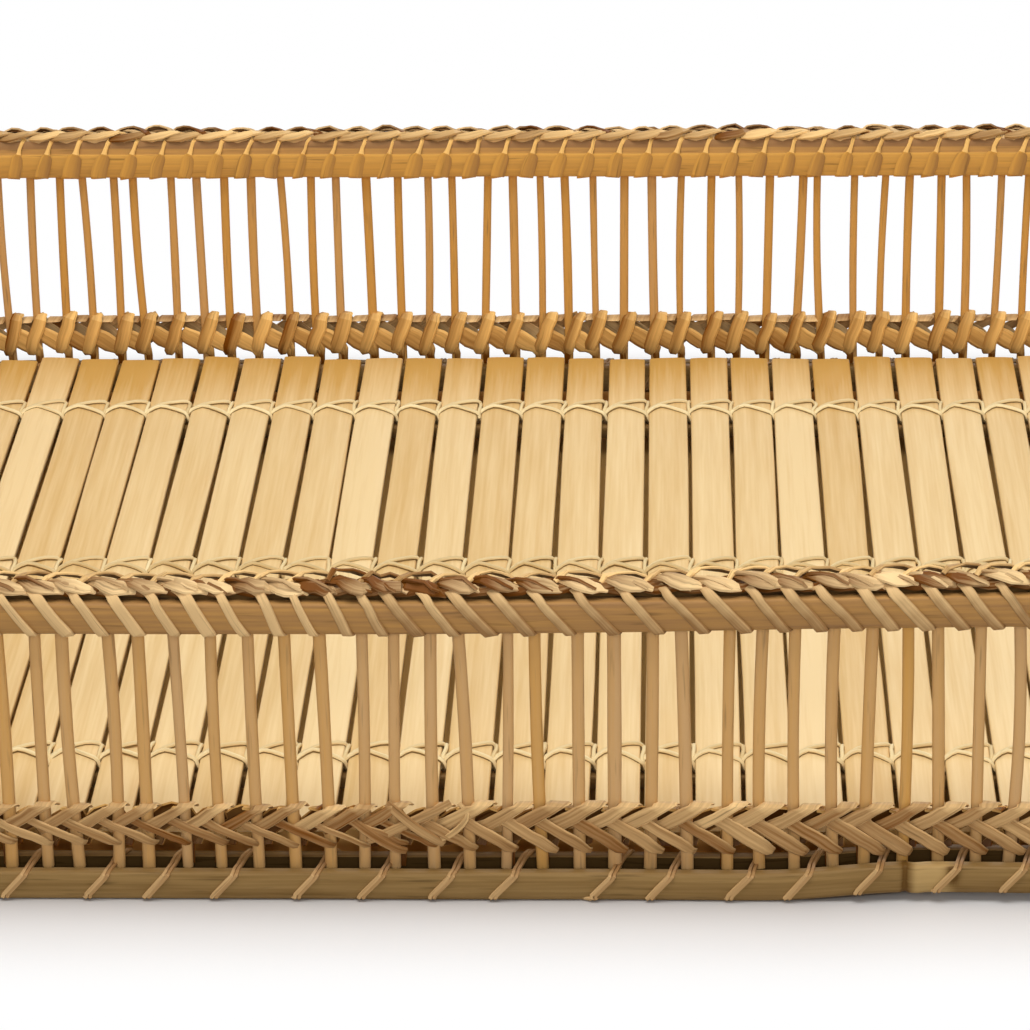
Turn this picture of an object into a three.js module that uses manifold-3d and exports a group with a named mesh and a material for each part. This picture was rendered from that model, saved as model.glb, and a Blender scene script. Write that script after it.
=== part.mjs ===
// A wicker tray: a slatted bamboo floor inside an open wall of upright stakes, with a bamboo hoop
// on each side of the stakes at the foot and at the rim. Millimetres, +Z up, +X along the tray.
// The origin is on the surface that the tray stands on, under its middle.

import * as THREE from 'three';
import { mergeVertices } from 'three/addons/utils/BufferGeometryUtils.js';
import Module from 'manifold-3d';

const wasm = await Module();
wasm.setup();

// Plan of the tray, measured to the line that the stakes stand on
const trayHalfLength = 237.2;
const trayHalfDepth = 163.5;
const cornerRadius = 30;
const cornerSteps = 8;

// Room left between pieces that lie against each other
const clearance = 0.3;

// Stakes of the wall, and the strip that joins their feet between the foot hoops
const stakePitch = 9;
const stakeWidth = 2.8;
const stakeThickness = 2.2;
const stakeTop = 84.1;
const stakeFoot = 0.6;
const footStripHeight = 4.4;

// Bamboo hoops
const hoopThickness = 3.2;
const footHoopHeight = 8.7;
const rimHoopHeight = 9.5;

// Woven band round the bottom of the wall
const bandRise = 3.2;
const bandHeight = 15.4;
const bandThickness = 1.2;

// Plaited border along the rim
const plaitWidth = 9.6;
const plaitHeight = 3.2;
const plaitShoulder = 2;
const plaitSkirt = 0.8;

// Lashing strips that bind the hoops to the stakes
const lashingThickness = 0.6;
const lashingStrip = 0.9;
const rimLashingWidth = 3;
const rimLashingLean = -8;
const footLashingPitch = 18;
const footLashingWidth = 2.3;
const footLashingLean = 7;
const footLashingLift = 0.4;

// Floor: slats from front to back, rows of ties and a bearer under each row
const slatWidth = 11.7;
const slatThickness = 2.2;
const slatBevel = 0.6;
const floorInset = 10.2;
const tieThickness = 0.7;
const tieWidth = 1.6;
const tieRowInset = 38.6;
const bearerWidth = 14;
const bearerThickness = 4;
const bearerProud = 1.2;

// Offsets from the stake line, outwards
const stakeFace = stakeThickness / 2;
const hoopNear = stakeFace + clearance;
const hoopFar = hoopNear + hoopThickness;
const bandFar = hoopNear + bandThickness;
const lashingNear = hoopFar + clearance;
const lashingFar = lashingNear + lashingThickness;

// Heights, from the hoop that the tray stands on upwards
const bearerTop = footHoopHeight + bearerProud;
const bearerBottom = bearerTop - bearerThickness;
const tieUnder = bearerTop + clearance;
const slatBottom = tieUnder + tieThickness + clearance;
const slatTop = slatBottom + slatThickness;
const tieOver = slatTop + clearance;
const bandBottom = footHoopHeight + bandRise;
const rimHoopBottom = stakeTop - rimHoopHeight;
const plaitBottom = stakeTop + clearance;

// Finishes
const strawFinish = { color: 0xe3c384, roughness: 0.55, metalness: 0 };
const tieFinish = { color: 0xecd8a2, roughness: 0.6, metalness: 0 };
const bearerFinish = { color: 0xc9a76a, roughness: 0.65, metalness: 0 };
const stakeFinish = { color: 0xbf8c50, roughness: 0.55, metalness: 0 };
const bandFinish = { color: 0xa87c4a, roughness: 0.6, metalness: 0 };
const hoopFinish = { color: 0x9d7d4d, roughness: 0.5, metalness: 0 };
const plaitFinish = { color: 0xb08a58, roughness: 0.6, metalness: 0 };
const lashingFinish = { color: 0xc2a16d, roughness: 0.6, metalness: 0 };

// The stake line as a walk round the tray, anticlockwise from the left end of the front: each
// straight run is followed by a quarter circle, and each run gives a point and its outward normal
const straightX = 2 * (trayHalfLength - cornerRadius);
const straightY = 2 * (trayHalfDepth - cornerRadius);
const cornerArc = (cornerRadius * Math.PI) / 2;

function straightRun(name, length, start, heading) {
  const along = [Math.cos(heading), Math.sin(heading)];
  const normal = [along[1], -along[0]];
  const at = (s) => ({ point: [start[0] + along[0] * s, start[1] + along[1] * s], normal });
  return { name, length, at, curved: false };
}

function cornerRun(name, centre, startAngle) {
  const at = (s) => {
    const angle = startAngle + s / cornerRadius;
    const normal = [Math.cos(angle), Math.sin(angle)];
    const point = [centre[0] + cornerRadius * normal[0], centre[1] + cornerRadius * normal[1]];
    return { point, normal };
  };
  return { name, length: cornerArc, at, curved: true };
}

const cornerX = trayHalfLength - cornerRadius;
const cornerY = trayHalfDepth - cornerRadius;
const quarter = Math.PI / 2;

const runs = [
  straightRun('front', straightX, [-cornerX, -trayHalfDepth], 0),
  cornerRun('corner_front_right', [cornerX, -cornerY], -quarter),
  straightRun('right', straightY, [trayHalfLength, -cornerY], quarter),
  cornerRun('corner_back_right', [cornerX, cornerY], 0),
  straightRun('back', straightX, [cornerX, trayHalfDepth], 2 * quarter),
  cornerRun('corner_back_left', [-cornerX, cornerY], quarter),
  straightRun('left', straightY, [-trayHalfLength, cornerY], 3 * quarter),
  cornerRun('corner_front_left', [-cornerX, -cornerY], 2 * quarter),
];

let perimeter = 0;
for (const run of runs) {
  run.start = perimeter;
  perimeter += run.length;
}

function runAt(distance) {
  const s = ((distance % perimeter) + perimeter) % perimeter;
  const run = runs.findLast((candidate) => candidate.start <= s);
  return { run, local: s - run.start };
}

// The point at a distance along the stake line, an offset outwards from it and a height
function place(distance, offset, height) {
  const { run, local } = runAt(distance);
  const { point, normal } = run.at(local);
  return [point[0] + normal[0] * offset, point[1] + normal[1] * offset, height];
}

// How far an outline that lies inside the stake line by an inset reaches along one axis, at a
// place across it: the full half length, less what the rounded corner takes off
function outlineReach(across, inset, halfAlong, halfAcross) {
  const corner = Math.max(cornerRadius, inset);
  const radius = corner - inset;
  const past = Math.max(Math.abs(across) - (halfAcross - corner), 0);
  return halfAlong - corner + Math.sqrt(Math.max(radius ** 2 - past ** 2, 0));
}

// A closed surface from four-cornered faces, each listed anticlockwise as seen from outside
function surfaceFrom(faces) {
  const corners = [];
  for (const [a, b, c, d] of faces) {
    corners.push(...a, ...b, ...c, ...a, ...c, ...d);
  }
  const geometry = new THREE.BufferGeometry();
  geometry.setAttribute('position', new THREE.Float32BufferAttribute(corners, 3));
  const merged = mergeVertices(geometry);
  merged.computeVertexNormals();
  return merged;
}

// A closed ring: a profile of [offset, height] points carried once round the stake line. The
// profile runs up its outer side first
function ringGeometry(profile) {
  const stations = [];
  for (const run of runs) {
    const steps = run.curved ? cornerSteps : 1;
    for (let step = 0; step < steps; step += 1) {
      stations.push(run.start + (run.length * step) / steps);
    }
  }
  const faces = [];
  stations.forEach((s, i) => {
    const next = stations[(i + 1) % stations.length];
    profile.forEach(([offset, height], j) => {
      const [nextOffset, nextHeight] = profile[(j + 1) % profile.length];
      faces.push([
        place(s, offset, height),
        place(next, offset, height),
        place(next, nextOffset, nextHeight),
        place(s, nextOffset, nextHeight),
      ]);
    });
  });
  return surfaceFrom(faces);
}

function stripProfile(inner, outer, bottom, top) {
  return [[outer, bottom], [outer, top], [inner, top], [inner, bottom]];
}

// Columns of a comb along the stake line: gaps and teeth by turns, starting and ending with half a
// gap. A gap on a rounded corner is divided so that it follows the curve
function combColumns(start, length, count, toothWidth) {
  const pitch = length / count;
  const longestStep = cornerArc / cornerSteps;
  const columns = [];
  let edge = start;
  const addGap = (end) => {
    const curved = runAt(edge).run.curved || runAt(end).run.curved;
    const steps = curved ? Math.ceil((end - edge) / longestStep) : 1;
    const step = (end - edge) / steps;
    for (let i = 0; i < steps; i += 1) {
      columns.push({ from: edge + i * step, to: edge + (i + 1) * step, tooth: false });
    }
    edge = end;
  };
  for (let i = 0; i < count; i += 1) {
    const middle = start + (i + 0.5) * pitch;
    addGap(middle - toothWidth / 2);
    columns.push({ from: edge, to: edge + toothWidth, tooth: true });
    edge += toothWidth;
  }
  addGap(start + length);
  return columns;
}

// A comb bent round the stake line: teeth between two heights, joined by a strip above or below
// them. Lean is how far a tooth moves along the line from its bottom to its top
function combGeometry({ columns, inner, outer, strip, teeth, lean }) {
  const stripRow = { bottom: strip[0], top: strip[1], joined: true };
  const middleHeight = (teeth[0] + teeth[1]) / 2;
  const slope = lean / (teeth[1] - teeth[0]);
  const toothRows = [
    { bottom: teeth[0], top: middleHeight, joined: false },
    { bottom: middleHeight, top: teeth[1], joined: false },
  ];
  const wholeTooth = [{ bottom: teeth[0], top: teeth[1], joined: false }];
  const faces = [];
  columns.forEach(({ from, to, tooth }, index) => {
    const leansOnCurve = lean !== 0 && (runAt(from).run.curved || runAt(to + lean).run.curved);
    const toothPart = leansOnCurve ? toothRows : wholeTooth;
    const rows = tooth ? [stripRow, ...toothPart] : [stripRow];
    rows.sort((a, b) => a.bottom - b.bottom);
    rows.forEach((row, level) => {
      const spot = (s, offset, height) => place(s + slope * (height - middleHeight), offset, height);
      const corner = (s, offset) => [spot(s, offset, row.bottom), spot(s, offset, row.top)];
      const [nearFromLow, nearFromHigh] = corner(from, inner);
      const [nearToLow, nearToHigh] = corner(to, inner);
      const [farFromLow, farFromHigh] = corner(from, outer);
      const [farToLow, farToHigh] = corner(to, outer);
      faces.push([farFromLow, farToLow, farToHigh, farFromHigh]);
      faces.push([nearToLow, nearFromLow, nearFromHigh, nearToHigh]);
      if (!row.joined || index === 0) {
        faces.push([nearFromLow, farFromLow, farFromHigh, nearFromHigh]);
      }
      if (!row.joined || index === columns.length - 1) {
        faces.push([farToLow, nearToLow, nearToHigh, farToHigh]);
      }
      if (level === 0) {
        faces.push([nearFromLow, nearToLow, farToLow, farFromLow]);
      }
      if (level === rows.length - 1) {
        faces.push([farFromHigh, farToHigh, nearToHigh, nearFromHigh]);
      }
    });
  });
  return surfaceFrom(faces);
}

// A flat outline of [x, z] points carried along Y, centred on Y = 0
function extrudeAlongDepth(outline, depth) {
  const shape = new THREE.Shape(outline.map(([x, z]) => new THREE.Vector2(x, z)));
  const geometry = new THREE.ExtrudeGeometry(shape, { depth, bevelEnabled: false });
  geometry.rotateX(quarter);
  geometry.translate(0, depth / 2, 0);
  return geometry;
}

function solidOf(geometry) {
  const bare = geometry.clone();
  bare.deleteAttribute('normal');
  bare.deleteAttribute('uv');
  const merged = mergeVertices(bare);
  const vertProperties = new Float32Array(merged.attributes.position.array);
  const triVerts = new Uint32Array(merged.index.array);
  return new wasm.Manifold(new wasm.Mesh({ numProp: 3, vertProperties, triVerts }));
}

function cutAway(geometry, tools) {
  const left = tools.reduce((solid, tool) => solid.subtract(solidOf(tool)), solidOf(geometry));
  const { vertProperties, triVerts } = left.getMesh();
  const cut = new THREE.BufferGeometry();
  cut.setAttribute('position', new THREE.BufferAttribute(vertProperties, 3));
  cut.setIndex(new THREE.BufferAttribute(triVerts, 1));
  cut.computeVertexNormals();
  return cut;
}

function piece(name, geometry, finish) {
  const mesh = new THREE.Mesh(geometry, new THREE.MeshStandardMaterial(finish));
  mesh.name = name;
  return mesh;
}

const tray = new THREE.Group();
const floor = new THREE.Group();
const wall = new THREE.Group();
const foot = new THREE.Group();
const rim = new THREE.Group();
tray.add(floor, wall, foot, rim);

// Floor slats, side by side along the tray. Those at the ends are shorter, to clear the corners
const slatGap = tieThickness + 2 * clearance;
const slatPitch = slatWidth + slatGap;
const floorLength = 2 * (trayHalfLength - floorInset);
const slatCount = Math.floor((floorLength + slatGap) / slatPitch);
const slatPlaces = [];
for (let i = 0; i < slatCount; i += 1) {
  slatPlaces.push((i - (slatCount - 1) / 2) * slatPitch);
}

const slatOutline = [
  [-slatWidth / 2, 0],
  [slatWidth / 2, 0],
  [slatWidth / 2, slatThickness - slatBevel],
  [slatWidth / 2 - slatBevel, slatThickness],
  [slatBevel - slatWidth / 2, slatThickness],
  [-slatWidth / 2, slatThickness - slatBevel],
];

slatPlaces.forEach((x, i) => {
  const outerEdge = Math.abs(x) + slatWidth / 2;
  const reach = outlineReach(outerEdge, floorInset, trayHalfDepth, trayHalfLength);
  const number = String(i + 1).padStart(2, '0');
  const slat = piece(`floor_slat_${number}`, extrudeAlongDepth(slatOutline, 2 * reach), strawFinish);
  slat.position.set(x, 0, slatBottom);
  floor.add(slat);
});

// One tie strand of a row, as an outline in X and Z: over one slat and under the next, with a
// straight leg through each gap between slats
function tieOutline(overFirst) {
  const half = tieThickness / 2;
  const legs = slatPlaces.map((x) => x - slatPitch / 2);
  const upper = [];
  const lower = [];
  let isOver = overFirst;
  legs.forEach((leg, i) => {
    const base = isOver ? tieOver : tieUnder;
    const end = legs[i + 1] ?? leg + slatPitch;
    const upperInset = isOver ? -half : half;
    upper.push([leg + upperInset, base + tieThickness], [end - upperInset, base + tieThickness]);
    lower.push([leg - upperInset, base], [end + upperInset, base]);
    isOver = !isOver;
  });
  return [...lower, ...upper.reverse()];
}

// Tie rows and bearers. The middle row takes the other slats, so that every slat is bound from
// above and from below
const tieRowReach = trayHalfDepth - floorInset - tieRowInset;
const tieRows = [
  { name: 'front', y: -tieRowReach, overFirst: true },
  { name: 'middle', y: 0, overFirst: false },
  { name: 'back', y: tieRowReach, overFirst: true },
];

for (const { name, y, overFirst } of tieRows) {
  const tie = piece(`floor_tie_${name}`, extrudeAlongDepth(tieOutline(overFirst), tieWidth), tieFinish);
  tie.position.set(0, y, 0);
  floor.add(tie);

  const edge = Math.abs(y) + bearerWidth / 2;
  const reach = outlineReach(edge, hoopNear, trayHalfLength, trayHalfDepth);
  const bar = new THREE.BoxGeometry(2 * reach, bearerWidth, bearerThickness);
  const bearer = piece(`floor_bearer_${name}`, bar, bearerFinish);
  bearer.position.set(0, y, bearerBottom + bearerThickness / 2);
  floor.add(bearer);
}

// Stakes: one comb for each straight side and each corner, with a gap between neighbours
for (const run of runs) {
  const count = Math.max(Math.round(run.length / stakePitch), 1);
  const start = run.start + clearance / 2;
  const stakes = combGeometry({
    columns: combColumns(start, run.length - clearance, count, stakeWidth),
    inner: -stakeFace,
    outer: stakeFace,
    strip: [stakeFoot, stakeFoot + footStripHeight],
    teeth: [stakeFoot + footStripHeight, stakeTop],
    lean: 0,
  });
  wall.add(piece(`stakes_${run.name}`, stakes, stakeFinish));
}

// Woven band, as a plain ring on each side of the stakes
const bandTop = bandBottom + bandHeight;
const outerBand = ringGeometry(stripProfile(hoopNear, bandFar, bandBottom, bandTop));
const innerBand = ringGeometry(stripProfile(-bandFar, -hoopNear, bandBottom, bandTop));
wall.add(piece('base_band_outer', outerBand, bandFinish));
wall.add(piece('base_band_inner', innerBand, bandFinish));

// Foot hoops. The inner one is notched where the bearers rest in it
const notches = tieRows.map(({ y }) => {
  const notchBottom = bearerBottom - clearance;
  const notchTop = footHoopHeight + bearerProud;
  const notchWidth = bearerWidth + 2 * clearance;
  const notch = new THREE.BoxGeometry(2 * trayHalfLength, notchWidth, notchTop - notchBottom);
  notch.translate(0, y, (notchTop + notchBottom) / 2);
  return notch;
});
const footOuter = ringGeometry(stripProfile(hoopNear, hoopFar, 0, footHoopHeight));
const footInner = ringGeometry(stripProfile(-hoopFar, -hoopNear, 0, footHoopHeight));
foot.add(piece('foot_hoop_outer', footOuter, hoopFinish));
foot.add(piece('foot_hoop_inner', cutAway(footInner, notches), hoopFinish));

// Lashing of the foot, with its ends a clearance apart
const footLashingCount = Math.max(Math.round(perimeter / footLashingPitch), 1);
const footStripBottom = footHoopHeight - lashingStrip;
const footLashing = combGeometry({
  columns: combColumns(0, perimeter - clearance, footLashingCount, footLashingWidth),
  inner: lashingNear,
  outer: lashingFar,
  strip: [footStripBottom, footHoopHeight],
  teeth: [footLashingLift, footStripBottom],
  lean: footLashingLean,
});
foot.add(piece('foot_lashing', footLashing, lashingFinish));

// Rim hoops, their lashing and the plaited border on top
const rimOuter = ringGeometry(stripProfile(hoopNear, hoopFar, rimHoopBottom, stakeTop));
const rimInner = ringGeometry(stripProfile(-hoopFar, -hoopNear, rimHoopBottom, stakeTop));
rim.add(piece('rim_hoop_outer', rimOuter, hoopFinish));
rim.add(piece('rim_hoop_inner', rimInner, hoopFinish));

const rimLashingCount = Math.max(Math.round(perimeter / stakePitch), 1);
const rimStripBottom = stakeTop - lashingStrip;
const rimLashing = combGeometry({
  columns: combColumns(0, perimeter - clearance, rimLashingCount, rimLashingWidth),
  inner: lashingNear,
  outer: lashingFar,
  strip: [rimStripBottom, stakeTop],
  teeth: [rimHoopBottom, rimStripBottom],
  lean: rimLashingLean,
});
rim.add(piece('rim_lashing', rimLashing, lashingFinish));

const plaitHalf = plaitWidth / 2;
const plaitTop = plaitBottom + plaitHeight;
const plaitProfile = [
  [plaitHalf - plaitSkirt, plaitBottom],
  [plaitHalf, plaitBottom + plaitSkirt],
  [plaitHalf, plaitTop - plaitSkirt],
  [plaitHalf - plaitShoulder, plaitTop],
  [plaitShoulder - plaitHalf, plaitTop],
  [-plaitHalf, plaitTop - plaitSkirt],
  [-plaitHalf, plaitBottom + plaitSkirt],
  [plaitSkirt - plaitHalf, plaitBottom],
];
rim.add(piece('rim_plait', ringGeometry(plaitProfile), plaitFinish));

export default tray;
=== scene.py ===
# %% [markdown]
# # A bamboo tray, strip by strip
# A wicker tray is one idea repeated: split bamboo, bent and bound. The floor is a row of flat slats held
# by twined cane. The wall is a fence of thin stakes, whose feet are woven into a herringbone band. Two
# hoops clasp the stakes at the foot and two at the rim, and cane is wound round each pair.
# The packed model gives the sizes. This lesson builds the visible surface of each piece around it.

# %% Load the frame
import math

import bpy
import numpy as np
from mathutils import Matrix, Vector


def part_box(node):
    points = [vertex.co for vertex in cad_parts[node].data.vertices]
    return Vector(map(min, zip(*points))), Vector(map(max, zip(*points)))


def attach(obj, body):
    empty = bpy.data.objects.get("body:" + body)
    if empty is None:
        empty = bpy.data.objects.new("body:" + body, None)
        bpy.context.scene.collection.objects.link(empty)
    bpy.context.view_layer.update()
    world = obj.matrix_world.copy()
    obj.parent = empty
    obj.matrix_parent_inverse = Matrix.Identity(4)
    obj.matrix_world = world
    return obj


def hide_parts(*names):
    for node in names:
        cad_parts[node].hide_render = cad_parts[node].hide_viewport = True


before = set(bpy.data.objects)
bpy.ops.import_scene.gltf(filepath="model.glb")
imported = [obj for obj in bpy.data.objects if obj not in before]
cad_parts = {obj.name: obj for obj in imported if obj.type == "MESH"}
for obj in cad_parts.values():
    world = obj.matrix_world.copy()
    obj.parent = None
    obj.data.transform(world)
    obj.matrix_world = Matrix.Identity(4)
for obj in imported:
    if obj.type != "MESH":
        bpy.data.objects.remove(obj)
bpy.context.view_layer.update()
MM = 0.001
rng = np.random.default_rng(41)
print("nodes in the frame:", len(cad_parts))

# %% [markdown]
# ## The camera
# The photograph looks down into the tray over its front rim, from about 1.2 m away, with a long lens. The
# camera is turned a little to the left, so the middle of the tray stands right of the middle of the
# picture. The focal length was found in pixels of the photograph, and becomes millimetres on a 36 mm
# sensor.

# %% Set the camera
PHOTO_WIDTH_PX = 1030
FOCAL_PX = 4272
SENSOR_MM = 36.0
CAMERA_PLACE = (0.0, -1.1076, 0.5381)
CAMERA_PITCH = math.radians(24.67)
CAMERA_YAW = math.radians(2.051)

lens = bpy.data.cameras.new("camera")
lens.sensor_width = SENSOR_MM
lens.lens = FOCAL_PX / PHOTO_WIDTH_PX * SENSOR_MM
camera = bpy.data.objects.new("camera", lens)
bpy.context.scene.collection.objects.link(camera)
look_down = Matrix.Rotation(math.pi / 2 - CAMERA_PITCH, 4, "X")
look_left = Matrix.Rotation(CAMERA_YAW, 4, "Y")
camera.matrix_world = Matrix.Translation(CAMERA_PLACE) @ look_down @ look_left
bpy.context.scene.camera = camera
print("lens in mm:", round(lens.lens, 1))

# %% [markdown]
# ## The line of stakes
# Everything in the wall is placed by one closed line: the rounded rectangle through the middles of the
# stakes. A point is given by its distance along that line from the left end of the front, by how far it
# stands out of it, and by its height. Strips that wind round the tray then need only these three numbers.

# %% Measure the line of stakes
CORNER_RADIUS = 30 * MM
STAKES = 172


def middle(node, axis):
    """The middle of a node's box along one axis."""
    low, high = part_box(node)
    return (low[axis] + high[axis]) / 2


half_length = middle("stakes_right", 0)
half_depth = middle("stakes_back", 1)
flat_length = half_length - CORNER_RADIUS
flat_depth = half_depth - CORNER_RADIUS
quarter = CORNER_RADIUS * math.pi / 2
run_lengths = np.array([2 * flat_length, quarter, 2 * flat_depth, quarter] * 2)
run_starts = np.cumsum(run_lengths) - run_lengths
run_corners = np.array([
    [-flat_length, -half_depth], [flat_length, -half_depth],
    [half_length, -flat_depth], [half_length, flat_depth],
    [flat_length, half_depth], [-flat_length, half_depth],
    [-half_length, flat_depth], [-half_length, -flat_depth],
])
perimeter = run_lengths.sum()
pitch = perimeter / STAKES
stake_at = (np.arange(STAKES) + 0.5) * pitch
print("line of stakes in mm:", round(perimeter / MM, 1), "pitch:", round(pitch / MM, 3))

# %% Place points by the line of stakes
RIPPLE_SINES = 5
RIPPLE_SIZE = 1.6


def stake_line(distance):
    """Point and outward direction at a distance along the line of stakes.

    A straight run keeps one heading. In a corner the heading turns evenly, and the point moves by the
    corner radius times the change of the heading's sine and cosine.
    """
    distance = np.mod(distance, perimeter)
    run = np.searchsorted(run_starts, distance, side="right") - 1
    past = distance - run_starts[run]
    turning = run % 2 == 1
    first = (run // 2) * (math.pi / 2)
    heading = first + np.where(turning, past / CORNER_RADIUS, 0.0)
    arc_x = CORNER_RADIUS * (np.sin(heading) - np.sin(first))
    arc_y = CORNER_RADIUS * (np.cos(first) - np.cos(heading))
    step_x = np.where(turning, arc_x, past * np.cos(first))
    step_y = np.where(turning, arc_y, past * np.sin(first))
    point = run_corners[run] + np.stack([step_x, step_y], axis=-1)
    outward = np.stack([np.sin(heading), -np.cos(heading)], axis=-1)
    return point, outward


def place(distance, out, height):
    """World points: the line's point, moved outward, at a height."""
    distance, out, height = np.broadcast_arrays(distance, out, height)
    point, outward = stake_line(distance)
    return np.concatenate([point + outward * out[..., None], height[..., None]], axis=-1)


def facing(distance, turn):
    """Unit directions: turn is -90 degrees for inward, 0 for up and 90 for outward."""
    distance, turn = np.broadcast_arrays(distance, np.radians(turn))
    outward = stake_line(distance)[1]
    return np.concatenate([outward * np.sin(turn)[..., None], np.cos(turn)[..., None]], axis=-1)


def front_share(distance):
    """1 at the front wall and 0 at the back wall, by how far forward the line's point lies."""
    return (1 - stake_line(distance)[0][..., 1] / half_depth) / 2


def ripple(distance, waves, seed):
    """A smooth wobble of about unit size round the tray: a sum of sines with whole numbers of waves."""
    draw = np.random.default_rng(seed)
    count = draw.integers(waves // 2, waves + 1, RIPPLE_SINES)
    phase = draw.uniform(0, 2 * math.pi, RIPPLE_SINES)
    angle = 2 * math.pi * np.asarray(distance)[..., None] / perimeter * count + phase
    return np.sin(angle).sum(axis=-1) / RIPPLE_SIZE


def smooth_step(value, start, end):
    """0 before start, 1 after end, with a smooth cubic between."""
    share = np.clip((value - start) / (end - start), 0, 1)
    return share * share * (3 - 2 * share)


def bell(value, centre, reach):
    """A bell curve: e to the minus square of the distance from the centre, measured in reaches."""
    return np.exp(-(((value - centre) / reach) ** 2))


print("front middle:", place(flat_length, 0.0, 0.0).round(4))

# %% [markdown]
# ## Strips
# Almost every piece here is a strip: a small cross-section carried along a path. Blender's curve bevels
# could do that, but a strip also has to turn its face, change its width and carry a grain that runs along
# it. So a strip is worked out as rings of corner points. Each mesh gets a UV map in metres, with u along
# the strip and v round it, a tone for its strips, and a mark on the faces at its back, where the finishes
# paint shade. Every section starts with its back edge.

# %% Cross-sections
FLAT_SECTION = np.array([[-0.86, -1], [0.86, -1], [1, -0.2], [0.74, 0.9], [-0.74, 0.9], [-1, -0.2]])
STICK_SECTION = np.array([
    [-0.62, -1], [0.62, -1], [1, -0.5], [1, 0.5], [0.62, 0.95],
    [0, 1.1], [-0.62, 0.95], [-1, 0.5], [-1, -0.5],
])
WEDGE_SECTION = np.array([
    [-0.5, -1], [0.92, -1], [1, -0.5], [0.85, 0], [-0.5, 0.95], [-0.68, 0.95], [-1, 0.2], [-0.95, 0],
])
cane_angle = np.radians(np.arange(6) * 60 - 150)
CANE_SECTION = np.stack([np.cos(cane_angle), np.sin(cane_angle)], axis=-1)
SLAT_SECTION = np.array([
    [-0.96, -1], [0.96, -1], [1, -0.7], [1, 0.5], [0.975, 0.82], [0.92, 0.98],
    [0.5, 1.1], [-0.5, 1.1], [-0.92, 0.98], [-0.975, 0.82], [-1, 0.5], [-1, -0.7],
])
print("corners of a flat strip:", len(FLAT_SECTION), "of a lashing:", len(WEDGE_SECTION))


# %% Carry a section along a path
def rounded(points, steps):
    """Catmull-Rom curves through points[strip, station]: steps samples from each point to the next."""
    before = 2 * points[:, :1] - points[:, 1:2]
    after = 2 * points[:, -1:] - points[:, -2:-1]
    row = np.concatenate([before, points, after], axis=1)[:, :, None]
    a, b, c, d = row[:, :-3], row[:, 1:-2], row[:, 2:-1], row[:, 3:]
    t = (np.arange(steps) / steps)[:, None]
    cubic = 2 * b + (c - a) * t + (2 * a - 5 * b + 4 * c - d) * t**2 + (3 * b - a - 3 * c + d) * t**3
    curve = cubic.reshape(len(points), -1, points.shape[-1]) / 2
    return np.concatenate([curve, points[:, -1:]], axis=1)


def unit(vectors):
    """Vectors divided by their lengths."""
    return vectors / np.linalg.norm(vectors, axis=-1, keepdims=True)


def sweep(path, face, width, thickness, section):
    """Rings of a section along path[strip, station].

    The strip's across direction is travel crossed with face, and its own face is across crossed with
    travel. Each corner stands half the width along across and half the thickness along face from the path.
    """
    travel = np.gradient(path, axis=1)
    across = unit(np.cross(travel, face))
    upright = unit(np.cross(across, travel))
    half_width = np.broadcast_to(width, path.shape[:2])[..., None, None] / 2
    half_thick = np.broadcast_to(thickness, path.shape[:2])[..., None, None] / 2
    wide = across[:, :, None] * section[:, :1] * half_width
    thick = upright[:, :, None] * section[:, 1:] * half_thick
    return path[:, :, None] + wide + thick


def wall_strips(control, thickness, section, steps=2):
    """Rings of strips in the wall. control holds distance, out, height, width (all in metres) and turn."""
    curve = rounded(control, steps)
    along, out, height, width, turn = np.moveaxis(curve, -1, 0)
    return sweep(place(along, out, height), facing(along, turn), width, thickness, section)


def ruled(edges, turn, thickness, section):
    """Rings of flat strips drawn by their two edges.

    edges[strip, station, side] holds distance, out and height. A ring's middle lies half way between its
    edge points and its across direction goes from the first to the second. Its face looks the way that turn
    says.
    """
    points = place(edges[..., 0], edges[..., 1], edges[..., 2])
    half = (points[:, :, 1] - points[:, :, 0]) / 2
    normal = facing(edges[..., 0].mean(axis=2), turn)
    wide = half[:, :, None] * section[:, :1]
    thick = normal[:, :, None] * section[:, 1:] * thickness / 2
    return points.mean(axis=2)[:, :, None] + wide + thick


print("stations on a curve through 5 points:", rounded(np.zeros((1, 5, 3)), 2).shape[1])

# %% Turn rings into a mesh
GRAIN_SHIFT = 9.0


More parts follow.
